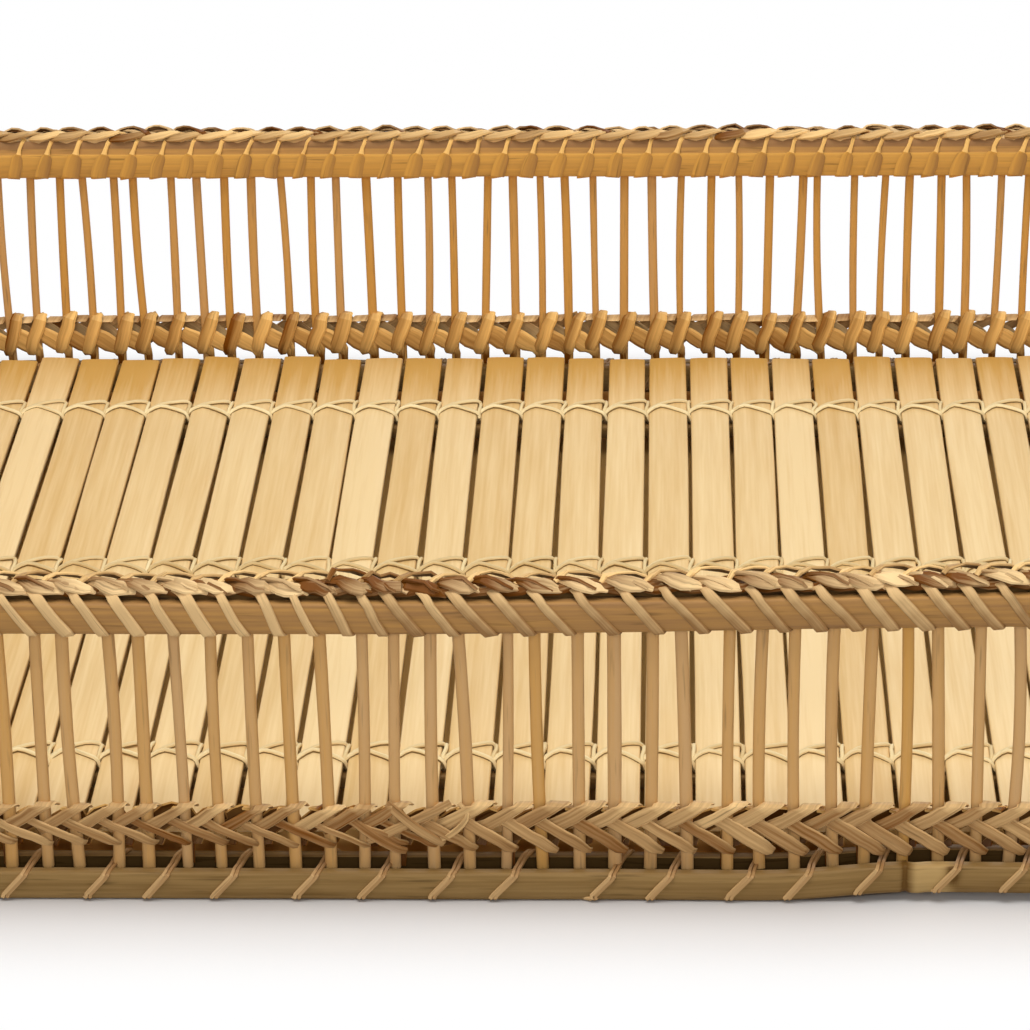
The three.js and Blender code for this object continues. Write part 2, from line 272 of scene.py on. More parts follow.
def swept_object(name, rings, tone, crease=25, closed=False):
    """One object from rings[strip, station, corner]: quads join neighbouring rings, and caps close ends.

    The tone is one number, or differs by strip, by station or by corner. Each strip starts at a random
    place of the grain, up to GRAIN_SHIFT metres along u. Edges sharper than crease degrees stay sharp.
    """
    strips, stations, corners = rings.shape[:3]
    index = np.arange(strips * stations * corners).reshape(strips, stations, corners)
    start = index if closed else index[:, :-1]
    end = np.roll(index, -1, axis=1) if closed else index[:, 1:]
    quads = np.stack([start, end, np.roll(end, -1, axis=2), np.roll(start, -1, axis=2)], axis=-1)
    centre = rings.mean(axis=2)
    if closed:
        centre = np.concatenate([centre, centre[:, :1]], axis=1)
    u = np.cumsum(np.linalg.norm(np.diff(centre, axis=1), axis=-1), axis=1)
    u = np.concatenate([np.zeros((strips, 1)), u], axis=1) + rng.uniform(0, GRAIN_SHIFT, (strips, 1))
    waist = rings[:, stations // 2]
    v = np.cumsum(np.linalg.norm(np.roll(waist, -1, axis=1) - waist, axis=-1), axis=1)
    v = np.concatenate([np.zeros((strips, 1)), v], axis=1)
    u0, u1 = np.broadcast_to(u[:, :-1, None], start.shape), np.broadcast_to(u[:, 1:, None], start.shape)
    v0, v1 = np.broadcast_to(v[:, None, :-1], start.shape), np.broadcast_to(v[:, None, 1:], start.shape)
    uv = np.stack([u0, v0, u1, v0, u1, v1, u0, v1], axis=-1).ravel()
    faces = quads.reshape(-1, 4).tolist()
    if not closed:
        faces += index[:, 0].tolist() + index[:, -1, ::-1].tolist()
        cap_v = np.broadcast_to(v[:, :-1], (strips, corners))
        first = np.stack([np.broadcast_to(u[:, :1], cap_v.shape), cap_v], axis=-1)
        last = np.stack([np.broadcast_to(u[:, -1:], cap_v.shape), cap_v[:, ::-1]], axis=-1)
        uv = np.concatenate([uv, first.ravel(), last.ravel()])
    mesh = bpy.data.meshes.new(name)
    mesh.from_pydata(rings.reshape(-1, 3), [], faces)
    mesh.uv_layers.new(name="strip").data.foreach_set("uv", uv)
    if np.ndim(tone) < 3:
        tone = np.broadcast_to(tone, (strips, stations))[..., None]
    tones = np.broadcast_to(tone, rings.shape[:3]).astype(np.float32)
    mesh.attributes.new("tone", "FLOAT", "POINT").data.foreach_set("value", tones.ravel())
    # Faces along the first edge of each section are marked as the back, where the finishes paint shade.
    painted_shade_backs = np.zeros(len(faces), np.float32)
    painted_shade_backs[:quads.size // 4:corners] = 1
    mesh.attributes.new("back", "FLOAT", "FACE").data.foreach_set("value", painted_shade_backs)
    mesh.shade_smooth()
    mesh.set_sharp_from_angle(angle=math.radians(crease))
    made = bpy.data.objects.new(name, mesh)
    bpy.context.scene.collection.objects.link(made)
    return made


def fit(piece, slot, finish, *nodes):
    """Gives a piece its finish, rides it on the tray and hides the nodes it stands for."""
    piece.data.materials.append(finish)
    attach(piece, "root")
    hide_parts(*nodes)
    print(piece.name, "faces:", len(piece.data.polygons))


print("largest shift of the grain in m:", GRAIN_SHIFT)

# %% [markdown]
# ## Finishes
# Split bamboo shows long fibres, slow streaks of deeper straw and a tone that differs from strip to strip.
# One recipe serves every piece: noise stretched along u gives fibres and streaks, the tone shifts the
# whole strip, and the fibres also raise a fine bump. What differs between pieces is colour, contrast and
# gloss. The tone also carries painted highlight and shade along some strips and round their edges, and the
# faces at a strip's back get painted shade.

# %% Shader arithmetic
class Wire:
    """One output of a shader node. Sums and products of wires add Math nodes to the same material."""

    def __init__(self, tree, socket=None):
        self.tree = tree
        self.socket = socket

    def node(self, kind, settings=None, sockets=None, output=0):
        """Adds a node: settings are set first, then each socket gets its value or link."""
        made = self.tree.nodes.new(kind)
        for name, value in (settings or {}).items():
            setattr(made, name, value)
        for name, value in (sockets or {}).items():
            if isinstance(value, Wire):
                self.tree.links.new(value.socket, made.inputs[name])
            else:
                made.inputs[name].default_value = value
        return Wire(self.tree, made.outputs[output] if made.outputs else None)

    def calculate(self, operation, first, second=0.0):
        """One Math node on one or two values."""
        return self.node("ShaderNodeMath", {"operation": operation}, {0: first, 1: second})

    def blend(self, share, first, second):
        """A colour that goes from first to second as share goes from 0 to 1."""
        return self.node("ShaderNodeMix", {"data_type": "RGBA"}, {0: share, 6: first, 7: second}, 2)

    def span(self, value, start, end, top=1.0, smooth=False):
        """A number that goes from 0 at start to top at end, straight or along a smooth cubic."""
        kind = {"interpolation_type": "SMOOTHSTEP" if smooth else "LINEAR"}
        return self.node("ShaderNodeMapRange", kind, {0: value, 1: start, 2: end, 4: top})

    def __add__(self, other):
        return self.calculate("ADD", self, other)

    def __radd__(self, other):
        return self.calculate("ADD", other, self)

    def __sub__(self, other):
        return self.calculate("SUBTRACT", self, other)

    def __rsub__(self, other):
        return self.calculate("SUBTRACT", other, self)

    def __mul__(self, other):
        return self.calculate("MULTIPLY", self, other)

    def __rmul__(self, other):
        return self.calculate("MULTIPLY", other, self)


def new_material(name):
    """An empty node material and a wire into its tree."""
    material = bpy.data.materials.new(name)
    material.use_nodes = True
    material.node_tree.nodes.clear()
    return material, Wire(material.node_tree)


print("a wire:", Wire.__doc__)

# %% Bamboo
FIBRE_CELLS = (40, 1200)
STREAK_CELLS = (12, 330)
FLECK_CELLS = (60, 900)
FLECK_START = 0.62
FLECK_FULL = 0.78
DARK_SHARE = 0.35
BUMP_STRENGTH = 0.35
BUMP_DEPTH = 0.12 * MM
ROUGHNESS_SPREAD = 0.25
GLOSS = 0.12


def bamboo(name, pale, deep, spread, streak, fibre, fleck, back=0.0, roughness=0.5):
    """Split bamboo.

    shade = tone times spread + (streaks - half) times streak + (fibres - half) times fibre. The colour goes
    from pale to deep as shade goes from 0 to 1. Rare dark fibres, and painted shade on the faces marked as
    a strip's back, by the share back, are mixed in on top.
    """
    material, wire = new_material(name)
    strip = wire.node("ShaderNodeUVMap", {"uv_map": "strip"})
    tone = wire.node("ShaderNodeAttribute", {"attribute_name": "tone"}, output="Fac")
    behind = wire.node("ShaderNodeAttribute", {"attribute_name": "back"}, output="Fac")

    def grain(cells, detail):
        """Noise on the strip's UV map, with so many cells in a metre along and across."""
        grid = wire.node("ShaderNodeMapping", {}, {"Vector": strip, "Scale": (*cells, 1.0)})
        return wire.node("ShaderNodeTexNoise", {}, {"Vector": grid, "Scale": 1.0, "Detail": detail})

    fibres = grain(FIBRE_CELLS, detail=4.0)
    streaks = grain(STREAK_CELLS, detail=2.0)
    flecks = grain(FLECK_CELLS, detail=1.0)
    shade = tone * spread + (streaks - 0.5) * streak + (fibres - 0.5) * fibre
    dark = tuple(DARK_SHARE * value for value in deep)
    body = wire.blend(shade, (*pale, 1), (*deep, 1))
    rare = wire.span(flecks, FLECK_START, FLECK_FULL, fleck)
    # The faces marked as the back are darkened by the share back: painted shade.
    colour = wire.blend(rare + behind * back, body, (*dark, 1))
    bump = wire.node("ShaderNodeBump", {}, {
        "Strength": BUMP_STRENGTH, "Distance": BUMP_DEPTH, "Height": fibres,
    })
    surface = wire.node("ShaderNodeBsdfPrincipled", {}, {
        "Base Color": colour, "Roughness": roughness + (fibres - 0.5) * ROUGHNESS_SPREAD, "Normal": bump,
        "Specular IOR Level": GLOSS,
    })
    wire.node("ShaderNodeOutputMaterial", {}, {"Surface": surface})
    return material


print("fibres in a metre along and across:", FIBRE_CELLS)

# %% Finishes of the pieces
# In each finish, back is the share of painted shade on the faces at a strip's back.
slat_finish = bamboo(
    "slat_finish", pale=(0.88, 0.65, 0.33), deep=(0.60, 0.335, 0.08),
    spread=0.6, streak=0.75, fibre=0.45, fleck=0.0, back=0.3, roughness=0.45,
)
tie_finish = bamboo(
    "tie_finish", pale=(0.95, 0.78, 0.44), deep=(0.50, 0.29, 0.08),
    spread=0.6, streak=0.5, fibre=0.5, fleck=0.2, back=0.8,
)
# The bearers' dark colour is painted shade, the shade under the floor that they stand in.
bearer_shade_finish = bamboo(
    "bearer_shade_finish", pale=(0.30, 0.165, 0.05), deep=(0.20, 0.10, 0.03),
    spread=0.6, streak=0.9, fibre=0.6, fleck=0.5,
)
stake_finish = bamboo(
    "stake_finish", pale=(0.64, 0.33, 0.078), deep=(0.62, 0.37, 0.16),
    spread=0.9, streak=0.7, fibre=0.7, fleck=0.5,
)
band_finish = bamboo(
    "band_finish", pale=(0.92, 0.62, 0.28), deep=(0.18, 0.055, 0.003),
    spread=0.9, streak=0.5, fibre=0.7, fleck=0.5, back=0.1,
)
leaf_finish = bamboo(
    "leaf_finish", pale=(0.90, 0.54, 0.17), deep=(0.20, 0.06, 0.003),
    spread=0.9, streak=0.6, fibre=0.8, fleck=0.5, back=0.85,
)
rim_finish = bamboo(
    "rim_finish", pale=(0.68, 0.36, 0.08), deep=(0.32, 0.165, 0.062),
    spread=0.9, streak=0.55, fibre=0.7, fleck=0.5, back=0.8,
)
foot_finish = bamboo(
    "foot_finish", pale=(0.55, 0.36, 0.14), deep=(0.13, 0.062, 0.012),
    spread=1.0, streak=0.53, fibre=0.4, fleck=0.5, back=0.9,
)
lashing_finish = bamboo(
    "lashing_finish", pale=(0.73, 0.48, 0.22), deep=(0.31, 0.16, 0.056),
    spread=0.9, streak=0.5, fibre=0.8, fleck=0.4, back=0.6,
)
crest_finish = bamboo(
    "crest_finish", pale=(0.92, 0.60, 0.25), deep=(0.18, 0.058, 0.005),
    spread=0.9, streak=0.6, fibre=0.8, fleck=0.5, back=0.85,
)
plait_finish = bamboo(
    "plait_finish", pale=(0.93, 0.65, 0.32), deep=(0.17, 0.055, 0.006),
    spread=1.0, streak=0.8, fibre=1.0, fleck=0.6, back=0.85,
)
print("finishes:", len(bpy.data.materials))

# %% [markdown]
# ## Floor slats
# Each slat is a flat lath with softened edges. No two are quite alike: the width wanders a little, the
# ends are cut by hand and the lath warps. The section is carried from front to back with those small
# errors added.

# %% Floor slats
SLAT_STATIONS = 16
END_ERROR = 0.7 * MM
BACK_OVERHANG = 1.8 * MM
SIDE_WANDER = 0.14 * MM
WARP_WANDER = 0.12 * MM
WIDTH_WANDER = 0.16 * MM
WIDTH_ERROR = (-0.3 * MM, 0.4 * MM)
SLAT_TILT = 0.02
SLAT_TONE = 0.8
BACK_END_PAINTED_SHADE = 1.3
BACK_END_SHADE_START = 0.83
slat_names = sorted(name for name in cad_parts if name.startswith("floor_slat_"))
slat_low = np.array([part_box(name)[0] for name in slat_names])
slat_high = np.array([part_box(name)[1] for name in slat_names])
slats = len(slat_names)
slat_top = slat_high[0, 2]
slat_run = np.linspace(0, 1, SLAT_STATIONS)
front_end = slat_low[:, 1] + rng.normal(0, END_ERROR, slats)
back_end = slat_high[:, 1] + BACK_OVERHANG + rng.normal(0, END_ERROR, slats)


def wander(size, knots=5, steps=8):
    """A smooth random course along each slat: a curve through random knots, read at the stations."""
    course = rounded(rng.normal(0, size, (slats, knots, 1)), steps)[..., 0]
    place_in = np.linspace(0, course.shape[1] - 1, SLAT_STATIONS).round().astype(int)
    return course[:, place_in]


slat_y = front_end[:, None] + (back_end - front_end)[:, None] * slat_run
slat_x = ((slat_low + slat_high) / 2)[:, :1] + wander(SIDE_WANDER)
slat_z = ((slat_low + slat_high) / 2)[:, 2:] + wander(WARP_WANDER)
slat_path = np.stack([slat_x, slat_y, slat_z], axis=-1)
slat_width = (slat_high - slat_low)[:, :1] + wander(WIDTH_WANDER)
slat_width = slat_width + rng.uniform(*WIDTH_ERROR, (slats, 1))
slat_face = np.zeros_like(slat_path)
slat_face[..., 0] = rng.normal(0, SLAT_TILT, (slats, 1))
slat_face[..., 2] = 1
slat_thickness = (slat_high - slat_low)[0, 2]
slat_rings = sweep(slat_path, slat_face, slat_width, slat_thickness, SLAT_SECTION)
slat_tone = rng.uniform(0, SLAT_TONE, (slats, 1))
# Each slat deepens towards its back end: painted shade and warm reflected light from the back wall.
slat_tone = slat_tone + BACK_END_PAINTED_SHADE * smooth_step(slat_run, BACK_END_SHADE_START, 1.0)
for number, name in enumerate(slat_names):
    lath = swept_object(f"{name}_lath", slat_rings[number:number + 1], slat_tone[number], crease=50)
    fit(lath, "floor_slat", slat_finish, name)

# %% [markdown]
# ## Floor ties
# Three rows of twined cane bind the slats. In each row two pairs of strands take turns: one pair lies over
# a slat while the other lies under it, and they change places in the gap. Over a slat the pair opens like
# a pair of scissors, one strand climbing to the far side of the row and one coming back. In each gap a
# short knot crosses the row.

# %% Floor ties
CANE_WIDTH = 1.5 * MM
CANE_THICKNESS = 1.2 * MM
KNOT_WIDTH = 1.2 * MM
CANE_CREASE = 80
# Five points at each slat: the share of the way past it, then millimetres over its top and across the row.
OVER_SHARE = np.array([0.0, 0.07, 0.32, 0.66, 0.93])
OVER_LIFT = np.array([-1.0, 0.3, 0.62, 0.58, 0.35])
UNDER_LIFT = np.array([-1.0, -2.6, -2.8, -2.8, -2.6])
UPPER_OVER = np.array([-3.4, -2.6, 1.0, 3.4, 4.1])
LOWER_OVER = np.array([-4.0, -3.0, 0.0, -2.2, -4.8])
UPPER_UNDER = np.array([4.2, 3.9, 1.5, -1.2, -3.2])
LOWER_UNDER = np.array([-5.0, -4.9, -4.6, -4.2, -4.0])
KNOT = np.array([
    [0.3, 4.4, -1.2], [0.3, 3.4, 0.2], [0.1, 0.4, 0.6], [-0.2, -3.0, 0.3], [-0.3, -4.2, -1.2],
])
STRAND_ERROR = 0.22
KNOT_ERROR = 0.5
KNOT_SIDE_ERROR = 0.2 * MM
STRAND_TONE = 0.5
KNOT_TONE = (0.2, 0.8)
ROW_TONE = {"front": 0.3, "middle": 0.5, "back": 0.05}
gap = slat_low[1, 0] - slat_high[0, 0]


def tie_row(name, node, deeper):
    """Four strands and a row of knots: each slat gives a strand five points, on its top or under it."""
    row = middle(node, 1)
    span = (slat_high - slat_low)[:, 0] + gap
    x = slat_low[:, :1] - gap / 2 + span[:, None] * OVER_SHARE
    strands = []
    for pair in (0, 1):
        over = ((np.arange(slats) + pair) % 2 == 0)[:, None]
        lift = np.where(over, OVER_LIFT, UNDER_LIFT) * MM
        for up, down in ((UPPER_OVER, UPPER_UNDER), (LOWER_OVER, LOWER_UNDER)):
            side = (np.where(over, up, down) + rng.normal(0, STRAND_ERROR, (slats, len(up)))) * MM
            strands.append(np.stack([x, row + side, slat_top + lift], axis=-1).reshape(-1, 3))
    path = rounded(np.stack(strands), 2)
    sideways = np.broadcast_to([0.0, 1.0, 0.0], path.shape)
    rings = sweep(path, sideways, CANE_WIDTH, CANE_THICKNESS, CANE_SECTION)
    tone = rng.uniform(0, STRAND_TONE, (len(strands), 1)) + deeper
    fit(swept_object(name, rings, tone, CANE_CREASE), "floor_tie", tie_finish, node)
    gaps = (slat_low[1:, 0] + slat_high[:-1, 0]) / 2
    knot = np.zeros((len(gaps), len(KNOT), 3))
    knot[..., 0] = gaps[:, None] + KNOT[:, 0] * MM + rng.normal(0, KNOT_SIDE_ERROR, knot.shape[:2])
    knot[..., 1] = row + (KNOT[:, 1] + rng.normal(0, KNOT_ERROR, (len(gaps), 1))) * MM
    knot[..., 2] = slat_top + KNOT[:, 2] * MM
    knot_path = rounded(knot, 2)
    upward = np.broadcast_to([0.0, 0.0, 1.0], knot_path.shape)
    knot_rings = sweep(knot_path, upward, KNOT_WIDTH, CANE_THICKNESS, CANE_SECTION)
    knot_tone = rng.uniform(*KNOT_TONE, (len(gaps), 1))
    knots = swept_object(name.replace("row", "knots"), knot_rings, knot_tone, CANE_CREASE)
    fit(knots, "floor_tie", tie_finish, node)


for where, deeper in ROW_TONE.items():
    tie_row(f"twined_row_{where}", f"floor_tie_{where}", deeper)

# %% [markdown]
# ## Floor bearers
# Three bars of split bamboo run under the tie rows and carry the slats. They are seen only from below.
# Each is a long bar with a few swollen joints, as a bamboo stem has.

# %% Floor bearers
BEARER_STATIONS = 60
JOINT_PLACES = np.array([0.22, 0.55, 0.86])
JOINT_ERROR = 12 * MM
JOINT_SWELL = 0.06
JOINT_REACH = 4 * MM


def bearer(name, node):
    """A bar along the tray whose section swells by a bell curve at each joint."""
    low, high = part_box(node)
    x = np.linspace(low.x, high.x, BEARER_STATIONS)[None]
    joints = JOINT_PLACES * (high.x - low.x) + low.x + rng.normal(0, JOINT_ERROR, len(JOINT_PLACES))
    swell = bell(x[..., None], joints, JOINT_REACH).sum(axis=-1)
    path = np.stack([x, np.full_like(x, middle(node, 1)), np.full_like(x, middle(node, 2))], axis=-1)
    face = np.broadcast_to([0.0, 0.0, 1.0], path.shape)
    size = 1 - JOINT_SWELL + JOINT_SWELL * swell
    rings = sweep(path, face, (high.y - low.y) * size, (high.z - low.z) * size, SLAT_SECTION)
    fit(swept_object(name, rings, rng.uniform(0, 1), crease=50), "floor_bearer", bearer_shade_finish, node)


for where in ("front", "middle", "back"):
    bearer(f"bearer_bar_{where}", f"floor_bearer_{where}")

# %% [markdown]
# ## Wall stakes
# The stakes stand about 9 mm apart all round. Each leans and bows a little, and they differ in width and
# tone. One array holds the control points of all of them, and one mesh holds all the stakes.

# %% Wall stakes
STAKE_FOOT = 6.5 * MM
STAKE_TOP_GAP = 3 * MM
STAKE_THICKNESS = 2.0 * MM
STAKE_WIDTH = 2.5 * MM
FRONT_WIDER = 0.5 * MM
STAKE_POINTS = 5
OUTWARD = 90
FOOT_ERROR = 0.5 * MM
LEAN_ERROR = 1.0 * MM
BOW_ERROR = 0.45 * MM
OUT_ERROR = 0.15 * MM
STAKE_WIDTH_ERROR = 0.2 * MM
POINT_WIDTH_ERROR = 0.06 * MM
STAKE_TONE = 0.2
STAKE_FRONT_PAINTED_LIGHT = 0.6
STAKE_TONE_SPREAD = 0.25
rim_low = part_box("rim_hoop_outer")[0].z
rim_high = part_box("rim_hoop_outer")[1].z
upward = np.linspace(0, 1, STAKE_POINTS)
stake_foot_shift = rng.normal(0, FOOT_ERROR, STAKES)
stake_lean = rng.normal(0, LEAN_ERROR, STAKES)
stake_bow = rng.normal(0, BOW_ERROR, STAKES)
stakes = np.zeros((STAKES, STAKE_POINTS, 5))
stakes[..., 0] = (stake_at + stake_foot_shift)[:, None] + stake_lean[:, None] * upward
stakes[..., 0] += stake_bow[:, None] * np.sin(math.pi * upward)
stakes[..., 1] = rng.normal(0, OUT_ERROR, (STAKES, 1))
stakes[..., 2] = np.linspace(STAKE_FOOT, rim_high - STAKE_TOP_GAP, STAKE_POINTS)
stake_front = front_share(stake_at)[:, None]
stake_width = STAKE_WIDTH + FRONT_WIDER * stake_front + rng.normal(0, STAKE_WIDTH_ERROR, (STAKES, 1))
stakes[..., 3] = stake_width + rng.normal(0, POINT_WIDTH_ERROR, (STAKES, STAKE_POINTS))
stakes[..., 4] = OUTWARD
# Front stakes lean to the pinkish deep colour and back stakes to the orange pale one: painted light,
# standing for the white light on the outside of the front wall and the warm light off the floor on the
# inside of the back wall.
stake_tone = STAKE_TONE + STAKE_FRONT_PAINTED_LIGHT * stake_front + rng.normal(0, STAKE_TONE_SPREAD, (STAKES, 1))
stake_tone = np.clip(stake_tone, 0, 1)
stake_nodes = sorted(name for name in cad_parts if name.startswith("stakes_"))
stake_rings = wall_strips(stakes, STAKE_THICKNESS, STICK_SECTION)
wall_stakes = swept_object("wall_stakes", stake_rings, stake_tone, crease=60)
fit(wall_stakes, "wall_stake", stake_finish, *stake_nodes)

# %% [markdown]
# ## Herringbone band
# Near the foot, flat strips cross the stakes. Outside they read as a row of arrowheads. The upper half of
# each climbs over the outside of a stake and folds over the top of the band in the gap beside it, and its
# low end is tucked under its neighbour. The lower half comes out from under it and slants down to the next
# stake's foot. Inside, a leaf climbs from beside each stake's foot to the fold, in front of a second leaf
# that comes down to the foot. A strip outside is drawn by its two edges, because its fold is level while
# its edges slope. At one place the weave was spliced, and a few strips cross it there.

# %% Edges of the strips outside
BAND_THICKNESS = 0.8 * MM
# Pairs of edge points: distance from the stake, distance out and height, in millimetres.
UPPER = np.array([
    [[-8.6, 0.9, 19.8], [-6.2, 0.9, 16.7]], [[-6.6, 1.9, 21.2], [-4.2, 1.9, 18.1]],
    [[-3.0, 2.5, 23.5], [-0.6, 2.5, 20.6]], [[-0.8, 2.5, 24.9], [2.6, 2.5, 22.8]],
    [[0.6, 2.1, 25.1], [5.6, 2.1, 24.7]], [[1.0, 1.2, 25.3], [6.4, 1.2, 25.1]],
    [[1.4, 0.0, 25.1], [6.9, 0.0, 24.9]], [[2.2, -0.9, 24.2], [7.3, -0.9, 24.0]],
])
UPPER_TURN = np.array([90, 90, 90, 88, 70, 25, -20, -60])
LOWER = np.array([
    [[-2.4, 1.4, 23.2], [-4.1, 1.4, 20.2]], [[0.4, 2.0, 21.7], [-1.4, 2.0, 18.7]],
    [[3.2, 2.5, 20.1], [1.4, 2.5, 17.0]], [[6.0, 2.7, 18.4], [4.3, 2.7, 15.2]],
    [[8.4, 2.6, 16.8], [6.9, 2.6, 13.5]], [[10.4, 2.3, 15.0], [8.9, 2.3, 12.0]],
    [[11.8, 1.7, 13.4], [10.5, 1.7, 11.2]], [[12.4, 0.9, 12.4], [11.5, 0.9, 11.0]],
])
LOWER_TURN = np.array([90, 90, 90, 90, 90, 90, 95, 100])
print("pairs of edge points in an upper strip:", len(UPPER), "in a lower strip:", len(LOWER))

# %% Strips outside
LOOSE_START = 45 * MM
LOOSE_FULL = 75 * MM
LOOSE_NARROWER = 0.2
FOOT_FOLLOW = 0.6
STRIP_WIDTH_ERROR = 0.07
STRIP_SIDE_ERROR = 0.45 * MM
STRIP_HEIGHT_ERROR = 0.2 * MM
STRIP_POINT_ERROR = 0.1 * MM


def at_left(distance):
    """1 at the left of the front, where the weave is looser, and 0 elsewhere."""
    x = stake_line(distance)[0][..., 0]
    return smooth_step(-x, LOOSE_START, LOOSE_FULL) * front_share(distance) ** 4


def band_strips(edges, slip, drop, back_lift):
    """One copy of a strip's edges at each stake, with small random errors.

    At the left of the front a strip is narrower, stands slip further left, and drops by what the table drop
    gives for its height. Towards the back it stands back_lift higher.
    """
    strips = np.broadcast_to(edges * MM, (STAKES, *edges.shape)).copy()
    loose = at_left(stake_at)[:, None, None]
    strips[..., 2] -= loose * np.interp(strips[..., 2], drop[:, 0], drop[:, 1])
    centre = strips.mean(axis=2, keepdims=True)
    narrower = rng.normal(1 - LOOSE_NARROWER * loose[..., None], STRIP_WIDTH_ERROR)
    strips = centre + (strips - centre) * narrower
    beside = stake_foot_shift * FOOT_FOLLOW + rng.normal(0, STRIP_SIDE_ERROR, STAKES)
    strips[..., 0] += (stake_at + beside)[:, None, None] - loose * slip
    strips[..., 2] += rng.normal(0, STRIP_HEIGHT_ERROR, (STAKES, 1, 1))
    strips += rng.normal(0, STRIP_POINT_ERROR, strips.shape)
    strips[..., 2] += back_lift * (1 - front_share(stake_at))[:, None, None]
    return strips


def band_tone(rings, level, spread, corner_light_and_shade):
    """A tone for each strip, drawn round a level, plus painted highlight and shade for each corner of its
    section.
    """
    strip_tone = np.clip(rng.normal(level, spread, (STAKES, 1, 1)), 0, 1)
    return np.broadcast_to(strip_tone + corner_light_and_shade, rings.shape[:3]).copy()


print("stakes where the weave is loose:", (at_left(stake_at) > 0.5).sum())

# %% Upper and lower strips
UPPER_SLIP = 3.0 * MM
LOWER_SLIP = 1.5 * MM
UPPER_DROP = np.array([[16, 0.9], [26, 0.4]]) * MM
LOWER_DROP = np.array([[11, -2.0], [16, -0.8], [20, 0.6], [23, 1.2]]) * MM
UPPER_BACK_LIFT = -1.2 * MM
LOWER_BACK_LIFT = 2.4 * MM
UPPER_TONE = 0.70
LOWER_TONE = 0.74
STRIP_TONE_SPREAD = 0.12
# Upper strips get a paler lower edge and lower strips a paler upper edge: painted highlights.
UPPER_EDGE_HIGHLIGHT = np.array([0, 0, -0.4, 0, 0, 0])
LOWER_EDGE_HIGHLIGHT = np.array([0, 0, 0, 0, 0, -0.3])
LEFT_TONE = 0.1
BACK_PAINTED_LIGHT = 0.3
FOLD = slice(4, 7)
FOLD_LIGHT_AND_SHADE = 0.3
left_tone = LEFT_TONE * at_left(stake_at)[:, None, None]
at_back = 1 - front_share(stake_at)[:, None, None]
upper_strips = band_strips(UPPER, UPPER_SLIP, UPPER_DROP, UPPER_BACK_LIFT)
upper_rings = ruled(upper_strips, UPPER_TURN, BAND_THICKNESS, FLAT_SECTION)
upper_tone = band_tone(upper_rings, UPPER_TONE, STRIP_TONE_SPREAD, UPPER_EDGE_HIGHLIGHT) + left_tone
# Towards the back the upper strips are painted paler: painted light on faces that lie in shade.
upper_tone -= BACK_PAINTED_LIGHT * at_back
# The folds are painted paler at the front, a highlight where they turn up to the light, and darker at the
# back, as painted shade.
upper_tone[:, FOLD] += FOLD_LIGHT_AND_SHADE * (2 * at_back - 1)
upper_object = swept_object("band_upper_strips", upper_rings, upper_tone)
fit(upper_object, "base_band", band_finish, "base_band_outer")
lower_strips = band_strips(LOWER, LOWER_SLIP, LOWER_DROP, LOWER_BACK_LIFT)
lower_rings = ruled(lower_strips, LOWER_TURN, BAND_THICKNESS, FLAT_SECTION)
lower_tone = band_tone(lower_rings, LOWER_TONE, STRIP_TONE_SPREAD, LOWER_EDGE_HIGHLIGHT) + left_tone
lower_object = swept_object("band_lower_strips", lower_rings, lower_tone)
fit(lower_object, "base_band", band_finish, "base_band_outer")

# %% Leaves inside
# Each point has distance from the stake, distance out, height and width in millimetres, and its turn.
CLIMBING_LEAF = np.array([
    [1.9, -1.2, 12.2, 2.6, -90], [1.8, -2.0, 13.2, 3.6, -90], [1.4, -2.5, 14.8, 4.1, -90],
    [0.4, -2.8, 18.2, 4.2, -90], [-0.8, -2.7, 21.8, 4.2, -90], [-1.7, -2.3, 24.3, 4.0, -82],
    [-2.2, -1.2, 25.4, 3.5, -40], [-2.7, 0.3, 25.6, 2.8, 5],
])
FALLING_LEAF = np.array([
    [9.2, -1.4, 20.0, 4.2, -90], [7.2, -1.9, 18.6, 5.6, -90], [5.2, -2.1, 17.4, 6.0, -90],
    [3.2, -2.1, 16.1, 5.8, -90], [1.6, -2.0, 14.9, 4.8, -90], [0.4, -1.8, 13.4, 3.2, -90],
    [0.0, -1.2, 11.4, 2.0, -90], [0.0, -0.5, 7.0, 2.0, -90],
])
# Climbing leaves are painted pale along one edge and dark along the other, falling leaves the other way
# round: painted highlight and shade.
CLIMBING_LIGHT_AND_SHADE = np.array([0, 0, -0.7, -0.4, 0.25, 0.4])
FALLING_LIGHT_AND_SHADE = np.array([0, 0, 0.1, 0.1, -0.15, -0.3])
FALLING_LIFT = np.array([1.5, 1.9, 2.1, 1.9, 1.0, 0.2, 0, 0]) * MM
FRONT_DROP = np.array([[19.0, 0.0], [25.5, 2.6]]) * MM
LEAF_SWAY = 0.5 * MM
LEAF_TONE_SPREAD = 0.15
FOOT_SHADE_START = 13.5 * MM
FOOT_SHADE_END = 11.0 * MM
LEAF_FOOT_SHADE = 0.6
LEAF_FRONT_SHADE = 0.2
UNITS = np.array([MM, MM, MM, MM, 1.0])


def woven_strips(pattern, sway):
    """One copy of a strip's control points at each stake, with small random errors."""
    strips = np.broadcast_to(pattern * UNITS, (STAKES, *pattern.shape)).copy()
    strips[..., 0] += (stake_at + stake_foot_shift * FOOT_FOLLOW)[:, None]
    strips[..., 0] += rng.normal(0, sway, (STAKES, 1)) + rng.normal(0, sway / 3, strips.shape[:2])
    strips[..., 2] += rng.normal(0, sway / 2, (STAKES, 1)) + rng.normal(0, sway / 4, strips.shape[:2])
    strips[..., 3] *= rng.normal(1, STRIP_WIDTH_ERROR, (STAKES, 1))
    return strips


